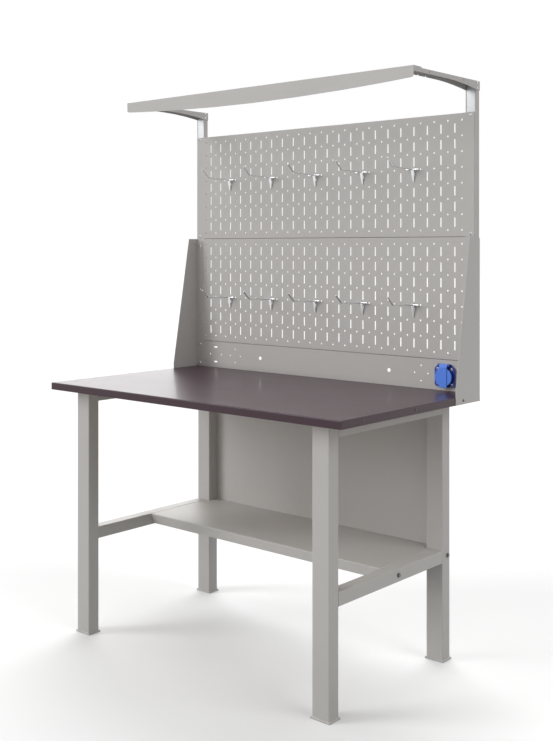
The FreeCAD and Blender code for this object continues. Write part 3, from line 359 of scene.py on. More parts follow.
@dataclass(frozen=True)
class BakedSteel:
    """A dark baked coat on sheet steel, semi-gloss, with faint rub marks."""

    name: str
    colour: Colour
    smooth: float = 0.33
    rough: float = 0.38
    shine: float = 0.20
    lacquer: float = 0.22
    lacquer_rough: float = 0.13
    spread: float = 0.04
    mottle_scale: float = 4.0
    peel_scale: float = 300.0
    peel: float = 0.006 * MM
    rub_turn: float = math.radians(24)
    rub_stretch: tuple[float, float, float] = (6.0, 90.0, 6.0)
    rub_share: float = 0.5

    def material(self) -> Material:
        """Make the worktop's material.

        Returns:
            The material.
        """
        ground = Ground(self.name)
        ground.shade(
            Specular_IOR_Level=self.shine, Coat_Weight=self.lacquer, Coat_Roughness=self.lacquer_rough)
        grain = ground.grain(self.mottle_scale, self.peel_scale)
        ground.shade(Base_Color=ground.blend(grain["Mottle"], *shades(self.colour, self.spread)))
        along = ground.stretched(self.rub_stretch, self.rub_turn)
        rubs = add_node(ground.tree, "ShaderNodeTexNoise", Vector=along, Scale=3.0, Detail=5.0, Roughness=0.7)
        both = arithmetic(ground.tree, "ADD", rubs.outputs["Fac"], grain["Mottle"])
        wear = arithmetic(ground.tree, "MULTIPLY", both, self.rub_share)
        ground.gloss(wear, self.smooth, self.rough)
        ground.ripple(grain["Height"], self.peel)
        return ground.material


@dataclass(frozen=True)
class BrightZinc:
    """Bright zinc plate with fine drawn lines along one axis."""

    name: str
    colour: Colour
    stretch: tuple[float, float, float] = (1.0, 1.0, 0.03)
    smooth: float = 0.20
    rough: float = 0.30
    metal: float = 1.0
    spread: float = 0.06
    mottle_scale: float = 30.0
    line_depth: float = 0.02 * MM

    def material(self) -> Material:
        """Make the plating's material.

        Returns:
            The material.
        """
        ground = Ground(self.name)
        ground.shade(Metallic=self.metal)
        drawn = ground.stretched(self.stretch)
        lines = add_node(
            ground.tree, "ShaderNodeTexNoise", Vector=drawn, Scale=60.0, Detail=3.0, Roughness=0.6)
        mottle = ground.grain(self.mottle_scale)["Mottle"]
        ground.shade(Base_Color=ground.blend(mottle, *shades(self.colour, self.spread)))
        ground.gloss(lines.outputs["Fac"], self.smooth, self.rough)
        ground.ripple(lines.outputs["Fac"], self.line_depth)
        return ground.material


@dataclass(frozen=True)
class Chipboard:
    """Raw pressed chips of wood in mixed browns."""

    name: str
    dark: Colour
    light: Colour
    stretch: tuple[float, float, float] = (1.0, 2.4, 1.0)
    chip_scale: float = 190.0
    chip_depth: float = 0.2 * MM
    mottle_scale: float = 60.0
    smooth: float = 0.7
    rough: float = 0.9

    def material(self) -> Material:
        """Make the board's material.

        Returns:
            The material.
        """
        ground = Ground(self.name)
        flat = ground.stretched(self.stretch)
        chips = add_node(ground.tree, "ShaderNodeTexVoronoi", Vector=flat, Scale=self.chip_scale)
        tone = add_node(ground.tree, "ShaderNodeSeparateColor", Color=chips.outputs["Color"])
        ground.shade(Base_Color=ground.blend(tone.outputs["Red"], opaque(self.dark), opaque(self.light)))
        ground.gloss(ground.grain(self.mottle_scale)["Mottle"], self.smooth, self.rough)
        ground.ripple(chips.outputs["Distance"], self.chip_depth)
        return ground.material


@dataclass(frozen=True)
class Moulding:
    """A moulded plastic or rubber, or a dark plated steel, with a fine skin."""

    name: str
    colour: Colour
    smooth: float
    rough: float
    skin: float = 0.04 * MM
    spread: float = 0.05
    mottle_scale: float = 45.0
    skin_scale: float = 900.0

    def material(self) -> Material:
        """Make the moulding's material.

        Returns:
            The material.
        """
        ground = Ground(self.name)
        grain = ground.grain(self.mottle_scale, self.skin_scale)
        ground.shade(Base_Color=ground.blend(grain["Mottle"], *shades(self.colour, self.spread)))
        ground.gloss(grain["Mottle"], self.smooth, self.rough)
        ground.ripple(grain["Height"], self.skin)
        return ground.material


@dataclass(frozen=True)
class StudioFloor:
    """A plain pale floor that shows white to the camera and still takes soft shadows."""

    name: str = "studio_floor"
    seen_grey: float = 0.85
    bounced_grey: float = 0.35
    lift: float = 0.06

    def material(self) -> Material:
        """Make the floor's material.

        Returns:
            The material.
        """
        ground = Ground(self.name)
        ground.shade(Roughness=1.0, Specular_IOR_Level=0.0, Emission_Color=WHITE)
        path = add_node(ground.tree, "ShaderNodeLightPath").outputs
        seen = arithmetic(ground.tree, "MAXIMUM", path["Is Camera Ray"], path["Is Glossy Ray"])
        ground.shade(Emission_Strength=arithmetic(ground.tree, "MULTIPLY", seen, self.lift))
        bounced, shown = [(grey, grey, grey, 1.0) for grey in (self.bounced_grey, self.seen_grey)]
        ground.shade(Base_Color=ground.blend(seen, bounced, shown))
        return ground.material


def make_finishes() -> dict[Slot, Material]:
    """Make the finish of every slot.

    Returns:
        The material of each slot.
    """
    finishes = {
        Slot.GREY: PowderCoat("warm_grey_coat", (0.50, 0.483, 0.466)),
        Slot.FEET: PowderCoat("foot_coat", (0.47, 0.465, 0.45), dust=0.25),
        Slot.TOP: BakedSteel("plum_brown_top", (0.046, 0.021, 0.031)),
        Slot.BOARD: Chipboard("raw_chipboard", (0.44, 0.36, 0.27), (0.70, 0.61, 0.49)),
        Slot.ZINC: BrightZinc("bright_zinc", (0.80, 0.805, 0.815), metal=0.6),
        Slot.DARK: Moulding("dark_fastener", (0.150, 0.146, 0.140), 0.34, 0.46),
        Slot.FLANGE: Moulding("navy_flange", (0.010, 0.030, 0.300), 0.24, 0.32),
        Slot.LID: Moulding("blue_lid", (0.085, 0.240, 0.860), 0.28, 0.38),
        Slot.GASKET: Moulding("black_gasket", (0.020, 0.020, 0.020), 0.7, 0.85, skin=0.1 * MM),
        Slot.INSERT: Moulding("dark_insert", (0.020, 0.030, 0.100), 0.45, 0.6),
    }
    return {slot: finish.material() for slot, finish in finishes.items()}


@dataclass(frozen=True)
class Rounding:
    """The radii of a piece's edges.

    A fold lies between two broad faces, a rim is any other long edge, such as that of a sheet's
    thickness, and a corner is a sheet's corner seen square to the sheet.
    """

    fold: float
    rim: float = 0.0
    corner: float = 0.0


def only(kind: type, items: Iterable[Any]) -> list[Any]:
    """Return the items that are of one kind."""
    return [item for item in items if isinstance(item, kind)]


def corners_of(edges: Iterable[BMEdge]) -> list[BMVert]:
    """Return the ends of some edges, each once."""
    return list(dict.fromkeys(vert for edge in edges for vert in edge.verts))


def edges_among(mesh: BMesh, corners: Iterable[BMVert]) -> list[BMEdge]:
    """Return the edges that have both their ends among some corners."""
    ends = set(corners)
    return [edge for edge in mesh.edges if set(edge.verts) <= ends]


def edges_at(mesh: BMesh, height: float) -> list[BMEdge]:
    """Return the edges that lie level at a height."""
    return [edge for edge in mesh.edges if all(abs(vert.co.z - height) < TOUCH for vert in edge.verts)]


def face_outwards(mesh: BMesh) -> None:
    """Turn all faces of a closed shape outwards."""
    bmesh.ops.recalc_face_normals(mesh, faces=mesh.faces[:])


def merge(mesh: BMesh) -> None:
    """Merge the corners that touch."""
    bmesh.ops.remove_doubles(mesh, verts=mesh.verts[:], dist=TOUCH)


def merged_copy(node: str) -> BMesh:
    """Copy a node's mesh and merge its loose triangles.

    Args:
        node: The node's name.

    Returns:
        The merged copy.
    """
    mesh = bmesh.new()
    mesh.from_mesh(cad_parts[node].data)
    merge(mesh)
    return mesh


def weigh_normals(data: Mesh) -> None:
    """Weigh each corner's normal by the areas of the smooth faces there, so that broad faces stay flat.

    Args:
        data: The mesh that gets the normals.
    """
    around: list[list[bpy.types.MeshPolygon]] = [[] for _ in data.vertices]
    for face in data.polygons:
        for vert in face.vertices:
            around[vert].append(face)
    normals = []
    for face in data.polygons:
        for vert in face.vertices:
            total = Vector((0, 0, 0))
            for other in around[vert]:
                if face.normal.angle(other.normal, 0.0) < SHARP_ANGLE:
                    total += other.normal * other.area
            normals.append(total.normalized())
    data.normals_split_custom_set(normals)


def outer_edges(mesh: BMesh, least: float = LONG_EDGE, most: float = math.inf) -> list[BMEdge]:
    """Find the edges that stand out between two faces that meet squarely.

    Args:
        mesh: The mesh that holds the edges.
        least: The shortest length to return.
        most: The longest length to return.

    Returns:
        The edges.
    """
    found = []
    for edge in mesh.edges:
        if len(edge.link_faces) == 2 and edge.is_convex and least <= edge.calc_length() <= most:
            if edge.calc_face_angle() > SQUARE_ANGLE:
                found.append(edge)
    return found


def has_room(edge: BMEdge, width: float) -> bool:
    """Tell whether every edge that meets an edge's ends is longer than a width."""
    near = {other for vert in edge.verts for other in vert.link_edges} - {edge}
    return all(other.calc_length() > width for other in near)


def is_fold(edge: BMEdge) -> bool:
    """Tell whether an edge lies between two faces that are broader than a sheet's thickness."""
    return all(2 * face.calc_area() / face.calc_perimeter() > BROAD_FACE for face in edge.link_faces)


def soften(mesh: BMesh, edges: Iterable[BMEdge], width: float, segments: int = EDGE_STEPS) -> None:
    """Round edges by a bevel.

    Args:
        mesh: The mesh that holds the edges.
        edges: The edges to round.
        width: How far the rounding reaches from an edge.
        segments: Its steps.
    """
    bmesh.ops.bevel(
        mesh, geom=list(edges), offset=width, segments=segments, profile=0.5, affect="EDGES", material=-1,
        clamp_overlap=True)


def turned_to(direction: Vector) -> Matrix:
    """Return the rotation that turns +Z to a direction."""
    return UP.rotation_difference(direction).to_matrix().to_4x4()


def rectangle(mesh: BMesh, width: float, height: float, middle: Vector) -> None:
    """Add an upright rectangular loop that faces the front.

    Args:
        mesh: The mesh that gets the loop.
        width: Size along X.
        height: Size along Z.
        middle: Place of its middle.
    """
    place = (
        Matrix.Translation(middle)
        @ Matrix.Rotation(QUARTER_TURN, 4, "X")
        @ Matrix.Diagonal((width, height, 1, 1))
        @ Matrix.Rotation(QUARTER_TURN / 2, 4, "Z")
    )
    bmesh.ops.create_circle(mesh, segments=4, radius=math.hypot(0.5, 0.5), matrix=place)


def lathe(outline: Sequence[tuple[float, float]], axis: Vector, steps: int) -> BMesh:
    """Make the round shape that an outline gives about an axis through the origin.

    Args:
        outline: The distance from the axis and the place along it of each point.
        axis: The axis, at a right angle to X.
        steps: How many steps make the full turn.

    Returns:
        The shape's mesh.
    """
    mesh = bmesh.new()
    corners = [mesh.verts.new(ACROSS * radius + axis * along) for radius, along in outline]
    edges = [mesh.edges.new(pair) for pair in zip(corners, corners[1:])]
    bmesh.ops.spin(
        mesh, geom=corners + edges, cent=(0, 0, 0), axis=axis, angle=FULL_TURN, steps=steps, use_merge=True)
    merge(mesh)
    return mesh


def rod(radius: float, length: float, sides: int, place: Matrix) -> BMesh:
    """Make a closed rod along its own Z, about its middle.

    Args:
        radius: Its radius to its corners.
        length: Its length.
        sides: How many sides it has.
        place: Where it goes.

    Returns:
        The rod's mesh.
    """
    mesh = bmesh.new()
    bmesh.ops.create_cone(
        mesh, cap_ends=True, segments=sides, radius1=radius, radius2=radius, depth=length, matrix=place)
    return mesh


def cuboid(size: Vector, middle: Vector) -> BMesh:
    """Make a block with sharp edges, which the caller shapes.

    Args:
        size: Its size along each axis.
        middle: Place of its middle.

    Returns:
        The block's mesh.
    """
    mesh = bmesh.new()
    bmesh.ops.create_cube(mesh, size=1.0, matrix=Matrix.Translation(middle) @ Matrix.Diagonal((*size, 1)))
    return mesh


def grow(mesh: BMesh, edges: Sequence[BMEdge], step: Vector) -> list[BMEdge]:
    """Extrude edges by a step.

    Args:
        mesh: The mesh that holds the edges.
        edges: The edges to extrude.
        step: How far the new edges move.

    Returns:
        The new far edges.
    """
    made = bmesh.ops.extrude_edge_only(mesh, edges=edges)["geom"]
    far = only(BMVert, made)
    bmesh.ops.translate(mesh, verts=far, vec=step)
    ends = set(far)
    return [edge for edge in only(BMEdge, made) if set(edge.verts) <= ends]


def sweep(mesh: BMesh, edges: Sequence[BMEdge], centre: Vector, axis: Vector, angle: float,
          steps: int) -> list[BMEdge]:
    """Extrude edges round a bend.

    Args:
        mesh: The mesh that holds the edges.
        edges: The edges to turn.
        centre: A point on the bend's axis.
        axis: The bend's axis.
        angle: How far the bend turns.
        steps: The bend's steps.

    Returns:
        The edges at the end of the bend.
    """
    turned = bmesh.ops.spin(
        mesh, geom=corners_of(edges) + list(edges), cent=centre, axis=axis, angle=angle, steps=steps,
        use_duplicate=False)
    return only(BMEdge, turned["geom_last"])


def add_copy(target: BMesh, source: BMesh, place: Matrix) -> None:
    """Add a placed copy of one mesh to another.

    Args:
        target: The mesh that grows.
        source: The mesh that is copied.
        place: Where the copy goes.
    """
    data = bpy.data.meshes.new("copy")
    source.to_mesh(data)
    data.transform(place)
    target.from_mesh(data)
    bpy.data.meshes.remove(data)


def absorb(target: BMesh, *pieces: BMesh) -> None:
    """Add meshes to another where they are, and free them.

    Args:
        target: The mesh that grows.
        pieces: The meshes that go into it.
    """
    for piece in pieces:
        add_copy(target, piece, Matrix.Identity(4))
        piece.free()


@dataclass
class Bench:
    """What every sub-assembly needs: the finishes and a way to finish a piece."""

    finishes: dict[Slot, Material]

    def finish(self, mesh: BMesh, name: str, slot: Slot, body: str, node: str,
               material: Material | None = None) -> Object:
        """Turn a bmesh into a finished piece of the bench.

        Args:
            mesh: The shape, in the bench's frame; it is freed.
            name: The piece's name.
            slot: The material slot.
            body: The body that the piece rides on.
            node: The node that the piece stands for.
            material: The piece's own finish, where it differs from the slot's.

        Returns:
            The new object.
        """
        data = bpy.data.meshes.new(name)
        mesh.to_mesh(data)
        mesh.free()
        data.polygons.foreach_set("use_smooth", [True] * len(data.polygons))
        data.set_sharp_from_angle(angle=SHARP_ANGLE)
        weigh_normals(data)
        data.materials.append(material or self.finishes[slot])
        piece = bpy.data.objects.new(name, data)
        bpy.context.scene.collection.objects.link(piece)
        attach(piece, body)
        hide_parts(node)
        LOG.info("%s: %d faces in place of %s", name, len(data.polygons), node)
        return piece

    def coat(self, node: str, slot: Slot) -> None:
        """Give a node of the frame its finish.

        Args:
            node: The node's name.
            slot: The material slot.
        """
        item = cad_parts[node]
        item.data.materials.clear()
        item.data.materials.append(self.finishes[slot])
        LOG.info("%s: coated as %s", node, slot.value)

    def round_off(self, node: str, slot: Slot, radii: Rounding, material: Material | None = None) -> Object:
        """Stand for a node by a merged copy of it whose edges are rounded.

        Args:
            node: The node's name.
            slot: The material slot.
            radii: The radii of its edges.
            material: The piece's own finish, where it differs from the slot's.

        Returns:
            The new object.
        """
        mesh = merged_copy(node)
        bmesh.ops.dissolve_limit(
            mesh, angle_limit=FLAT_ANGLE, use_dissolve_boundaries=False, verts=mesh.verts[:],
            edges=mesh.edges[:])
        if radii.corner > 0:
            ends = [edge for edge in outer_edges(mesh, 0.0, SHEET_EDGE) if has_room(edge, radii.corner)]
            soften(mesh, ends, radii.corner, CORNER_STEPS)
        soften(mesh, [edge for edge in outer_edges(mesh) if is_fold(edge)], radii.fold, FOLD_STEPS)
        if radii.rim > 0:
            soften(mesh, [edge for edge in outer_edges(mesh) if not is_fold(edge)], radii.rim)
        return self.finish(mesh, f"{node}_rounded", slot, "frame", node, material)


@dataclass
class Pegboard:
    """A perforated sheet with its top and base folded back."""

    bench: Bench
    node: str
    sheet: float = 1.5 * MM
    fold: float = 1.2 * MM
    sag: float = 0.9 * MM
    flange_half: float = 557.7 * MM
    pitch: float = 50.0 * MM
    edge: float = 21.5 * MM
    hole: float = 6.0 * MM
    slot: tuple[float, float] = (5.0 * MM, 30.0 * MM)
    columns: int = 23
    rows: int = 8
    hole_sides: int = 12

    def build(self) -> Object:
        """Build the sheet in place of its node.

        Returns:
            The new object.
        """
        low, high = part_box(self.node)
        mesh = bmesh.new()
        middle = Vector((0, low.y, (low.z + high.z) / 2))
        rectangle(mesh, high.x - low.x, high.z - low.z - 2 * self.fold, middle)
        for side in (-1, 1):
            bmesh.ops.bisect_plane(
                mesh, geom=mesh.verts[:] + mesh.edges[:], dist=TOUCH,
                plane_co=ACROSS * side * self.flange_half, plane_no=ACROSS)
        self.perforate(mesh, low.y, low.z + self.edge)
        bmesh.ops.triangle_fill(
            mesh, use_beauty=True, use_dissolve=False, edges=mesh.edges[:], normal=-BACK)
        self.fold_back(mesh, low, high)
        face_outwards(mesh)
        mesh.faces.ensure_lookup_table()
        if mesh.faces[0].normal.y > 0:
            bmesh.ops.reverse_faces(mesh, faces=mesh.faces[:])
        bmesh.ops.solidify(mesh, geom=mesh.faces[:], thickness=self.sheet)
        return self.bench.finish(mesh, f"{self.node}_sheet", Slot.GREY, "frame", self.node)

    def perforate(self, mesh: BMesh, front: float, first: float) -> None:
        """Add the loops of the round holes and of the slots between them.

        Args:
            mesh: The sheet's mesh.
            front: Y of the sheet's front.
            first: Z of the lowest row of holes.
        """
        stand = Matrix.Rotation(QUARTER_TURN, 4, "X")
        half = self.pitch / 2
        for column in range(self.columns):
            x = (column - (self.columns - 1) / 2) * self.pitch
            for row in range(self.rows):
                place = Vector((x, front, first + row * self.pitch))
                bmesh.ops.create_circle(
                    mesh, segments=self.hole_sides, radius=self.hole / 2,
                    matrix=Matrix.Translation(place) @ stand)
                if column < self.columns - 1 and row < self.rows - 1:
                    rectangle(mesh, *self.slot, place + Vector((half, 0, half)))

    def fold_back(self, mesh: BMesh, low: Vector, high: Vector) -> None:
        """Fold the top and the base back and square off their ends.

        Args:
            mesh: The sheet's mesh.
            low: Lowest corner of the node.
            high: Highest corner of the node.
        """
        flange_end = self.flange_half + TOUCH
        depth = BACK * (high.y - low.y - self.fold)
        for level, sign, lean in ((high.z, 1, 0.0), (low.z, -1, self.sag)):
            line = level - sign * self.fold
            rim = edges_at(mesh, line)
            inside = [edge for edge in rim if all(abs(vert.co.x) < flange_end for vert in edge.verts)]
            ends = [edge for edge in rim if edge not in inside]
            centre = Vector((0, low.y + self.fold, line))
            last = sweep(mesh, inside, centre, ACROSS * -sign, QUARTER_TURN, FOLD_STEPS)
            grow(mesh, last, depth - UP * lean)
            grow(mesh, ends, UP * sign * self.fold)


@dataclass(frozen=True)
class ScrewGroup:
    """One group of equal screws: its node, their drive, their length below the seat and their slot."""

    node: str
    recess: Recess
    length: float
    slot: Slot


@dataclass
class Fasteners:
    """The screws and bolts, with domed or hexagonal heads in place of the plain ones.

    The dome's points are shares of the head's radius and height, the lip is the crown's share of the drive's
    radius, and the collar is a bolt's washer face as a share of the head's height.
    """

    bench: Bench
    head: float = 9.0 * MM
    head_height: float = 2.4 * MM
    shank: float = 4.0 * MM
    dome: tuple[tuple[float, float], ...] = ((1.0, 0.0), (0.97, 0.42), (0.82, 0.78))
    lip: float = 1.25
    drive: float = 4.2 * MM
    drive_depth: float = 1.3 * MM
    bolt_head: float = 12.0 * MM
    bolt_height: float = 5.0 * MM
    bolt_shank: float = 8.0 * MM
    bolt_sides: int = 6
    bolt_edge: float = 0.8 * MM
    collar: float = 0.25
    washer: float = 13.4 * MM
    around: int = 24
    screws: tuple[ScrewGroup, ...] = (
        ScrewGroup("pegboard_screws", Recess.HEXAGON, 8.5 * MM, Slot.ZINC),
        ScrewGroup("wing_flange_screws", Recess.HEXAGON, 8.5 * MM, Slot.ZINC),
        ScrewGroup("wing_edge_screws", Recess.HEXAGON, 16.5 * MM, Slot.DARK),
        ScrewGroup("worktop_edge_screws", Recess.HEXAGON, 16.5 * MM, Slot.DARK),
        ScrewGroup("arm_screws", Recess.HEXAGON, 5.4 * MM, Slot.ZINC),
        ScrewGroup("socket_screws", Recess.SQUARE, 9.0 * MM, Slot.ZINC),
    )
    bolts: tuple[tuple[str, float], ...] = (("shelf_bolts", 44.0 * MM), ("back_panel_bolts", 62.0 * MM))

    def build(self) -> None:
        """Build every group of fasteners in place of its node."""
        for group in self.screws:
            self.place(group.node, self.screw(group.length, group.recess), group.slot)
        for node, length in self.bolts:
            self.place(node, self.bolt(length), Slot.DARK)

    def screw(self, length: float, recess: Recess) -> BMesh:
        """Make one screw whose seat lies at the origin and whose head points along +Z.

        Args:
            length: Length of the shank below the seat.
            recess: The head's drive.

        Returns:
            The screw's mesh.
        """
        outline = [(self.shank / 2, -length), (self.shank / 2, 0)]
        outline += [(self.head / 2 * wide, self.head_height * high) for wide, high in self.dome]
        outline.append((self.drive / 2 * self.lip, self.head_height))
        mesh = lathe(outline, UP, self.around)
        crown = edges_at(mesh, self.head_height)
        mouth = bmesh.ops.create_circle(
            mesh, segments=recess.value, radius=self.drive / 2,
            matrix=Matrix.Translation(UP * self.head_height))["verts"]
        cuts = self.around // recess.value - 1
        made = bmesh.ops.subdivide_edges(mesh, edges=edges_among(mesh, mouth), cuts=cuts)["geom_inner"]
        loop = edges_among(mesh, mouth + only(BMVert, made))
        bmesh.ops.bridge_loops(mesh, edges=crown + loop)
        bmesh.ops.contextual_create(mesh, geom=grow(mesh, loop, -UP * self.drive_depth))
        bmesh.ops.contextual_create(mesh, geom=edges_at(mesh, -length))
        face_outwards(mesh)
        return mesh

    def bolt(self, length: float) -> BMesh:
        """Make one hexagon bolt with a washer face, seat at the origin and head along +Z.

        Args:
            length: Length of the shank below the seat.

        Returns:
            The bolt's mesh.
        """
        collar = self.bolt_height * self.collar
        shank, washer = self.bolt_shank / 2, self.washer / 2
        outline = [(0, -length), (shank, -length), (shank, 0), (washer, 0), (washer, collar), (0, collar)]
        mesh = lathe(outline, UP, self.around)
        tall = self.bolt_height - collar
        middle = Matrix.Translation(UP * (collar + tall / 2))
        corner_radius = self.bolt_head / 2 / math.cos(math.pi / self.bolt_sides)
        hexagon = rod(corner_radius, tall, self.bolt_sides, middle)
        soften(hexagon, hexagon.edges, self.bolt_edge)
        absorb(mesh, hexagon)
        face_outwards(mesh)
        return mesh

    def seats(self, node: str) -> list[tuple[Vector, Vector]]:
        """Find the seat and the head's direction of each fastener of a node.

        Args:
            node: A group of screws or bolts.

        Returns:
            Pairs of seat and direction, one for each solid.
        """
        mesh = merged_copy(node)
        found = []
        seen: set[BMVert] = set()
        for vert in mesh.verts:
            if vert not in seen:
                solid = self.joined_to(vert)
                seen |= solid
                found.append(self.seat_of([corner.co.copy() for corner in solid]))
        mesh.free()
        return found

    def joined_to(self, first: BMVert) -> set[BMVert]:
        """Find all corners of the solid that a corner belongs to.

        Args:
            first: One corner.

        Returns:
            The solid's corners.
        """
        group = {first}
        waiting = [first]
        while waiting:
            vert = waiting.pop()
            fresh = {edge.other_vert(vert) for edge in vert.link_edges} - group
            group |= fresh
            waiting.extend(fresh)
        return group

    def seat_of(self, points: Sequence[Vector]) -> tuple[Vector, Vector]:
        """Work out the seat of one fastener from its corners.

        Args:
            points: All corners of the fastener's solid.

        Returns:
            The middle of its seat and the direction of its head.
        """
        low = Vector([min(point[axis] for point in points) for axis in range(3)])
        high = Vector([max(point[axis] for point in points) for axis in range(3)])
        middle = (low + high) / 2
        along = max(range(3), key=lambda axis: len(self.levels(points, axis)) == SHANK_LEVELS)
        head_high = self.wide_end(points, middle, along)
        direction = Vector((0, 0, 0))
        direction[along] = 1.0 if head_high else -1.0
        levels = self.levels(points, along)
        middle[along] = levels[-2] if head_high else levels[1]
        return middle, direction

    def levels(self, points: Sequence[Vector], axis: int) -> list[float]:
        """Return the levels along an axis in which the corners lie."""
        return sorted({round(point[axis], LEVEL_DECIMALS) for point in points})

    def wide_end(self, points: Sequence[Vector], middle: Vector, along: int) -> bool:
        """Tell whether the head lies at the high end of the axis.

        Args:
            points: All corners of the fastener's solid.
            middle: The middle of their box.
            along: The shank's axis.

        Returns:
            True where the corner farthest from the axis lies above the middle.
        """
        flat = Vector((1, 1, 1))
        flat[along] = 0
        widest = max(points, key=lambda point: ((point - middle) * flat).length)
        return widest[along] > middle[along]

    def place(self, node: str, one: BMesh, slot: Slot) -> None:
        """Put a copy of one fastener at each seat of a node.

        Args:
            node: The group that the copies replace.
            one: The fastener's mesh; it is freed.
            slot: The material slot.
        """
        mesh = bmesh.new()
        for seat, direction in self.seats(node):
            add_copy(mesh, one, Matrix.Translation(seat) @ turned_to(direction))
        one.free()
        self.bench.finish(mesh, f"{node}_heads", slot, "frame", node)


@dataclass
class Hooks:
    """The wire hooks: a crossbar, a bent shank, a tapered tongue and a claw behind the sheet."""

    bench: Bench
    wire: float = 5.0 * MM
    wire_edge: float = 0.9 * MM
    bar: float = 48.0 * MM
    standoff: float = 9.0 * MM
    reach: float = 126.0 * MM
    rise: float = 4.0 * MM
    tip_reach: float = 31.0 * MM
    tip_rise: float = 27.0 * MM
    bend: float = 8.0 * MM
    bend_steps: int = 6
    tongue: tuple[float, float] = (13.0 * MM, 4.0 * MM)
    tongue_edge: float = 0.6 * MM
    plate: float = 3.0 * MM
    seat: float = 39.7 * MM
    crown: float = 20.8 * MM
    claw: float = 47.0 * MM
    claw_edge: float = 0.4 * MM
    claw_back: float = 4.8 * MM
    claw_front: float = 1.8 * MM
    clearance: float = 0.3 * MM
    sides: int = 14
    zinc: BrightZinc = BrightZinc(
        "hook_zinc", (0.78, 0.785, 0.795), smooth=0.17, rough=0.27, metal=0.75, line_depth=0.004 * MM)

    def build(self) -> None:
        """Build a hook in place of each hook node, on that node's own body."""
        one = self.shank()
        absorb(one, self.crossbar(), self.tongue_plate(), *self.claw_blocks())
        zinc = self.zinc.material()
        for name in sorted(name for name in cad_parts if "_hook_" in name):
            low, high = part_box(name)
            place = Vector(((low.x + high.x) / 2, high.y - self.claw_back, low.z + self.claw))
            mesh = bmesh.new()
            add_copy(mesh, one, Matrix.Translation(place))
            self.bench.finish(mesh, f"{name}_wire", Slot.ZINC, name, name, zinc)
        one.free()

    def crossbar(self) -> BMesh:
        """Make the bar across the tongue's top; its row meets the sheet's front at the origin.

        Returns:
            The bar's mesh.
        """
        place = Matrix.Translation(-BACK * self.standoff) @ turned_to(ACROSS)
        mesh = rod(self.wire / 2, self.bar, self.sides, place)
        soften(mesh, mesh.edges, self.wire_edge, FOLD_STEPS)
        return mesh

    def shank(self) -> BMesh:
        """Make the wire that runs out from the bar and turns up at its tip.

        Returns:
            The shank's mesh.
        """
        mesh = bmesh.new()
        start = Vector((0, -self.standoff, 0))
        knee = Vector((0, -self.reach, self.rise))
        tip = knee + Vector((0, -self.tip_reach, self.tip_rise))
        before = (knee - start).normalized()
        after = (tip - knee).normalized()
        turn = before.angle(after)
        setback = self.bend * math.tan(turn / 2)
        first = knee - before * setback
        centre = first + before.cross(ACROSS) * self.bend
        loop = bmesh.ops.create_circle(
            mesh, segments=self.sides, radius=self.wire / 2,
            matrix=Matrix.Translation(start) @ turned_to(before))["verts"]
        edges = grow(mesh, edges_among(mesh, loop), first - start)
        edges = sweep(mesh, edges, centre, -ACROSS, turn, self.bend_steps)
        edges = grow(mesh, edges, after * ((tip - knee).length - setback))
        bmesh.ops.contextual_create(mesh, geom=edges)
        face_outwards(mesh)
        soften(mesh, edges, self.wire_edge, FOLD_STEPS)
        return mesh

    def tongue_plate(self) -> BMesh:
        """Make the tongue that narrows from the bar down to the slot.

        Returns:
            The tongue's mesh.
        """
        wide, narrow = self.tongue
        half = self.seat / 2
        mesh = cuboid(Vector((wide, self.plate, self.seat)), Vector((0, -self.standoff, -half)))
        foot = [vert for vert in mesh.verts if vert.co.z < -half]
        bmesh.ops.scale(mesh, vec=(narrow / wide, 1, 1), verts=foot)
        step = self.standoff - self.plate / 2 - self.clearance
        bmesh.ops.translate(mesh, vec=BACK * step, verts=foot)
        soften(mesh, mesh.edges, self.tongue_edge)
        return mesh

    def claw_blocks(self) -> list[BMesh]:
        """Make the neck through the slot and the claw behind the sheet.

        Returns:
            The two meshes.
        """
        blocks = []
        for front, base in ((-self.clearance - self.plate, self.seat), (self.claw_front, self.claw)):
            size = Vector((self.tongue[1], self.claw_back - front, base - self.crown))
            mesh = cuboid(size, Vector((0, (front + self.claw_back) / 2, -(base + self.crown) / 2)))
            soften(mesh, mesh.edges, self.claw_edge)
            blocks.append(mesh)
        return blocks


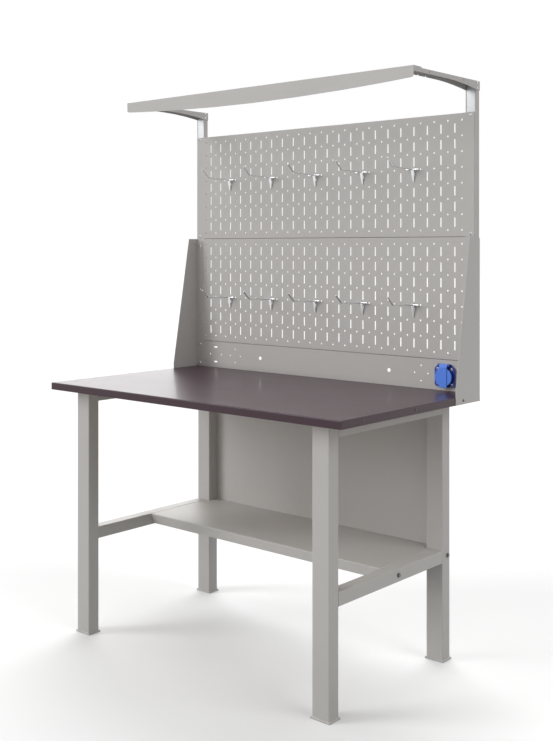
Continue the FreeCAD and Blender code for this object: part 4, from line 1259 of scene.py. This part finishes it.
@dataclass
class SocketLid:
    """The sprung lid: a rimmed disc under a raised band from its hinge barrel to its finger tab."""

    bench: Bench
    diameter: float = 60.0 * MM
    wall: float = 2.5 * MM
    depth: float = 5.0 * MM
    edge: float = 0.5 * MM
    steps: int = 64
    band: float = 28.0 * MM
    band_edge: float = 0.8 * MM
    rise: float = 2.0 * MM
    barrel: float = 9.4 * MM
    barrel_cover: float = 0.98
    barrel_sides: int = 32
    hinge_back: float = 7.3 * MM
    hinge_rise: float = 37.0 * MM
    tab: float = 3.5 * MM

    def build(self) -> Object:
        """Build the lid in place of its node, on the lid's body.

        Returns:
            The new object.
        """
        low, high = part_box("socket_lid")
        middle = Vector(((low.x + high.x) / 2, low.y + self.rise, low.z + self.tab + self.diameter / 2))
        mesh = self.disc()
        hinge = Matrix.Translation((0, self.hinge_back - self.rise, self.hinge_rise)) @ turned_to(ACROSS)
        absorb(mesh, self.raised_band(), rod(self.barrel / 2, self.band, self.barrel_sides, hinge))
        bmesh.ops.translate(mesh, verts=mesh.verts[:], vec=middle)
        return self.bench.finish(mesh, "socket_lid_moulding", Slot.LID, "lid", "socket_lid")

    def disc(self) -> BMesh:
        """Make the rimmed disc about Y, its face at the origin.

        Returns:
            The disc's mesh.
        """
        radius = self.diameter / 2
        inside = radius - self.wall
        outline = [
            (0, 0), (radius - self.edge, 0), (radius, self.edge), (radius, self.depth), (inside, self.depth),
            (inside, self.wall), (0, self.wall),
        ]
        mesh = lathe(outline, BACK, self.steps)
        face_outwards(mesh)
        return mesh

    def raised_band(self) -> BMesh:
        """Make the band down the middle of the face, which runs on below it as a tab.

        Returns:
            The band's mesh.
        """
        mesh = bmesh.new()
        base = -self.diameter / 2 - self.tab
        shoulder = self.diameter / 2 - self.wall
        axis_y = self.hinge_back - self.rise
        outline = [
            (-self.rise, base), (self.wall, base), (self.wall, shoulder), (axis_y, shoulder),
            (axis_y, self.hinge_rise + self.barrel / 2 * self.barrel_cover),
            (-self.rise, self.hinge_rise - self.barrel / 2),
        ]
        side = mesh.faces.new([mesh.verts.new((-self.band / 2, along, height)) for along, height in outline])
        made = bmesh.ops.extrude_face_region(mesh, geom=[side])["geom"]
        bmesh.ops.translate(mesh, verts=only(BMVert, made), vec=ACROSS * self.band)
        face_outwards(mesh)
        soften(mesh, mesh.edges, self.band_edge, FOLD_STEPS)
        return mesh


@dataclass
class WorktopCover:
    """The dark sheet over the worktop, folded down on all four sides with open corners."""

    bench: Bench
    sheet: float = 1.5 * MM
    bend: float = 3.4 * MM
    bend_steps: int = 4
    corner_gap: float = 2.4 * MM

    def build(self) -> Object:
        """Build the cover in place of its node.

        Returns:
            The new object.
        """
        low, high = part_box("worktop_cover")
        mesh = cuboid(high - low, (low + high) / 2)
        under = [face for face in mesh.faces if face.normal.z < -FLAT_ON]
        bmesh.ops.delete(mesh, geom=under, context="FACES_ONLY")
        soften(mesh, edges_at(mesh, high.z), self.bend, self.bend_steps)
        for side in (low.y + self.corner_gap, high.y - self.corner_gap):
            bmesh.ops.bisect_plane(
                mesh, geom=mesh.verts[:] + mesh.edges[:] + mesh.faces[:], plane_co=BACK * side, plane_no=BACK)
        bmesh.ops.delete(mesh, geom=self.corner_strips(mesh, low.y, high.y), context="FACES")
        face_outwards(mesh)
        bmesh.ops.solidify(mesh, geom=mesh.faces[:], thickness=self.sheet)
        return self.bench.finish(mesh, "worktop_cover_folded", Slot.TOP, "frame", "worktop_cover")

    def corner_strips(self, mesh: BMesh, front: float, rear: float) -> list[BMFace]:
        """Find the narrow faces of the side flaps next to the corners.

        Args:
            mesh: The cover's mesh.
            front: Y of the cover's front.
            rear: Y of the cover's rear.

        Returns:
            The faces to leave open.
        """
        inner = (rear - front) / 2 - self.corner_gap
        middle = (rear + front) / 2
        return [
            face for face in mesh.faces
            if abs(face.normal.x) > FLAT_ON and abs(face.calc_center_median().y - middle) > inner
        ]


@dataclass
class Framework:
    """The tubes and folded sheets with rounded edges, and the fixed parts of the socket."""

    bench: Bench
    tube: Rounding = Rounding(2.5 * MM)
    sheet: Rounding = Rounding(1.6 * MM, 0.4 * MM)
    cut_sheet: Rounding = Rounding(1.6 * MM, 0.4 * MM, 2.0 * MM)
    fascia: Rounding = Rounding(1.6 * MM, 0.4 * MM, 8.0 * MM)
    foot: Rounding = Rounding(0.8 * MM, 0.5 * MM)
    flange: Rounding = Rounding(0.8 * MM)
    insert: Rounding = Rounding(0.5 * MM)
    # The posts' zinc is darker than their bright plating: painted shade for the darker surroundings that the
    # posts reflect.
    shaded_post_zinc: BrightZinc = BrightZinc(
        "shaded_post_zinc", (0.40, 0.405, 0.415), smooth=0.40, rough=0.48, line_depth=0.004 * MM)

    def build(self) -> None:
        """Finish every node that the other classes leave."""
        hidden = {
            "worktop_board": Slot.BOARD, "socket_gasket": Slot.GASKET, "socket_rear_cap": Slot.INSERT,
            "socket_hinge_pin": Slot.ZINC, "socket_earth_clips": Slot.ZINC,
        }
        for node, slot in hidden.items():
            self.bench.coat(node, slot)
        self.bench.round_off("socket_flange", Slot.FLANGE, self.flange)
        self.bench.round_off("socket_insert", Slot.INSERT, self.insert)
        # The posts get the darkened zinc, which carries painted shade in its colour.
        zinc = self.shaded_post_zinc.material()
        for side in ("left", "right"):
            self.bench.round_off(f"{side}_post", Slot.ZINC, self.sheet, zinc)
            for part in ("upright", "wing", "lamp_arm"):
                self.bench.round_off(f"{side}_{part}", Slot.GREY, self.cut_sheet)
            for level in ("top", "lower"):
                self.bench.round_off(f"{level}_{side}_rail", Slot.GREY, self.tube)
            for row in ("front", "rear"):
                self.bench.round_off(f"{row}_{side}_leg", Slot.GREY, self.tube)
                self.bench.round_off(f"{row}_{side}_foot", Slot.FEET, self.foot)
        for node in ("shelf", "back_panel", "service_panel"):
            self.bench.round_off(node, Slot.GREY, self.sheet)
        self.bench.round_off("lamp_fascia", Slot.GREY, self.fascia)


@dataclass(frozen=True)
class Lamp:
    """A far, soft lamp.

    The side is in degrees to the right of straight ahead of the bench, the rise in degrees above the
    floor, and the spread is its width in degrees. The level is the share of white that it gives a
    white face turned to it.
    """

    name: str
    side: float
    rise: float
    spread: float
    level: float

    def hang(self, height: float) -> None:
        """Hang the lamp over the middle of the floor.

        Args:
            height: How high its object sits, which doesn't change its light.
        """
        data = bpy.data.lights.new(self.name, "SUN")
        data.angle = math.radians(self.spread)
        data.energy = self.level * math.pi
        about = Matrix.Rotation(math.radians(self.side), 4, "Z")
        down = Matrix.Rotation(QUARTER_TURN - math.radians(self.rise), 4, "X")
        lamp = bpy.data.objects.new(self.name, data)
        lamp.matrix_world = Matrix.Translation(UP * height) @ about @ down
        bpy.context.scene.collection.objects.link(lamp)


@dataclass
class Studio:
    """The floor, the light and the camera."""

    eye: tuple[float, float, float] = (2.2561, -2.7102, 1.3003)
    turn: float = math.radians(43.198)
    lens: float = 52.07
    shift: tuple[float, float] = (0.1124, -0.1650)
    floor_half: float = 40.0
    ambient: float = 0.32
    lamp_height: float = 3.0
    lamps: tuple[Lamp, ...] = (
        Lamp("low_key", side=-40.0, rise=16.0, spread=24.0, level=0.19),
        Lamp("high_key", side=-40.0, rise=36.0, spread=24.0, level=0.25),
        Lamp("front", side=-16.0, rise=16.0, spread=20.0, level=0.08),
        Lamp("fill", side=10.0, rise=38.0, spread=30.0, level=0.055),
        Lamp("side", side=94.0, rise=38.0, spread=44.0, level=0.28),
        Lamp("left", side=-85.0, rise=25.0, spread=30.0, level=0.09),
        Lamp("rear", side=-146.0, rise=44.0, spread=50.0, level=0.52),
        Lamp("far_rear", side=180.0, rise=50.0, spread=50.0, level=0.085),
        Lamp("glare", side=-128.0, rise=11.0, spread=36.0, level=0.11),
    )

    def build(self) -> None:
        """Build the whole studio."""
        self.floor()
        self.sky()
        for lamp in self.lamps:
            lamp.hang(self.lamp_height)
        self.camera()

    def floor(self) -> None:
        """Lay the pale floor."""
        mesh = bmesh.new()
        bmesh.ops.create_grid(mesh, x_segments=1, y_segments=1, size=self.floor_half)
        data = bpy.data.meshes.new("floor")
        mesh.to_mesh(data)
        mesh.free()
        data.materials.append(StudioFloor().material())
        floor = bpy.data.objects.new("floor", data)
        bpy.context.scene.collection.objects.link(floor)

    def sky(self) -> None:
        """Make the surroundings white to the camera and a plain soft light to the rest."""
        world = bpy.data.worlds.new("studio")
        bpy.context.scene.world = world
        world.use_nodes = True
        tree = world.node_tree
        background = tree.nodes["Background"].inputs
        background["Color"].default_value = WHITE
        path = add_node(tree, "ShaderNodeLightPath").outputs
        mirrored = arithmetic(tree, "MAXIMUM", path["Is Camera Ray"], path["Is Glossy Ray"])
        seen = arithmetic(tree, "MAXIMUM", mirrored, path["Is Transmission Ray"])
        strength = add_node(tree, "ShaderNodeMapRange", Value=seen, To_Min=self.ambient, To_Max=1.0)
        supply(tree, background["Strength"], strength.outputs["Result"])

    def camera(self) -> None:
        """Set up the level camera at the photograph's viewing angle."""
        data = bpy.data.cameras.new("camera")
        data.lens = self.lens
        data.shift_x, data.shift_y = self.shift
        camera = bpy.data.objects.new("camera", data)
        camera.location = self.eye
        camera.rotation_euler = (QUARTER_TURN, 0, self.turn)
        bpy.context.scene.collection.objects.link(camera)
        bpy.context.scene.camera = camera


def main() -> None:
    """Build the studio and every sub-assembly; each new piece logs its face count."""
    logging.basicConfig(level=logging.INFO, format="%(name)s %(message)s")
    bpy.context.scene.view_settings.view_transform = "Standard"
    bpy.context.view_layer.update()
    Studio().build()
    bench = Bench(make_finishes())
    Framework(bench).build()
    WorktopCover(bench).build()
    for node in ("upper_pegboard", "lower_pegboard"):
        Pegboard(bench, node).build()
    Fasteners(bench).build()
    Hooks(bench).build()
    SocketLid(bench).build()


if __name__ == "__main__":
    main()
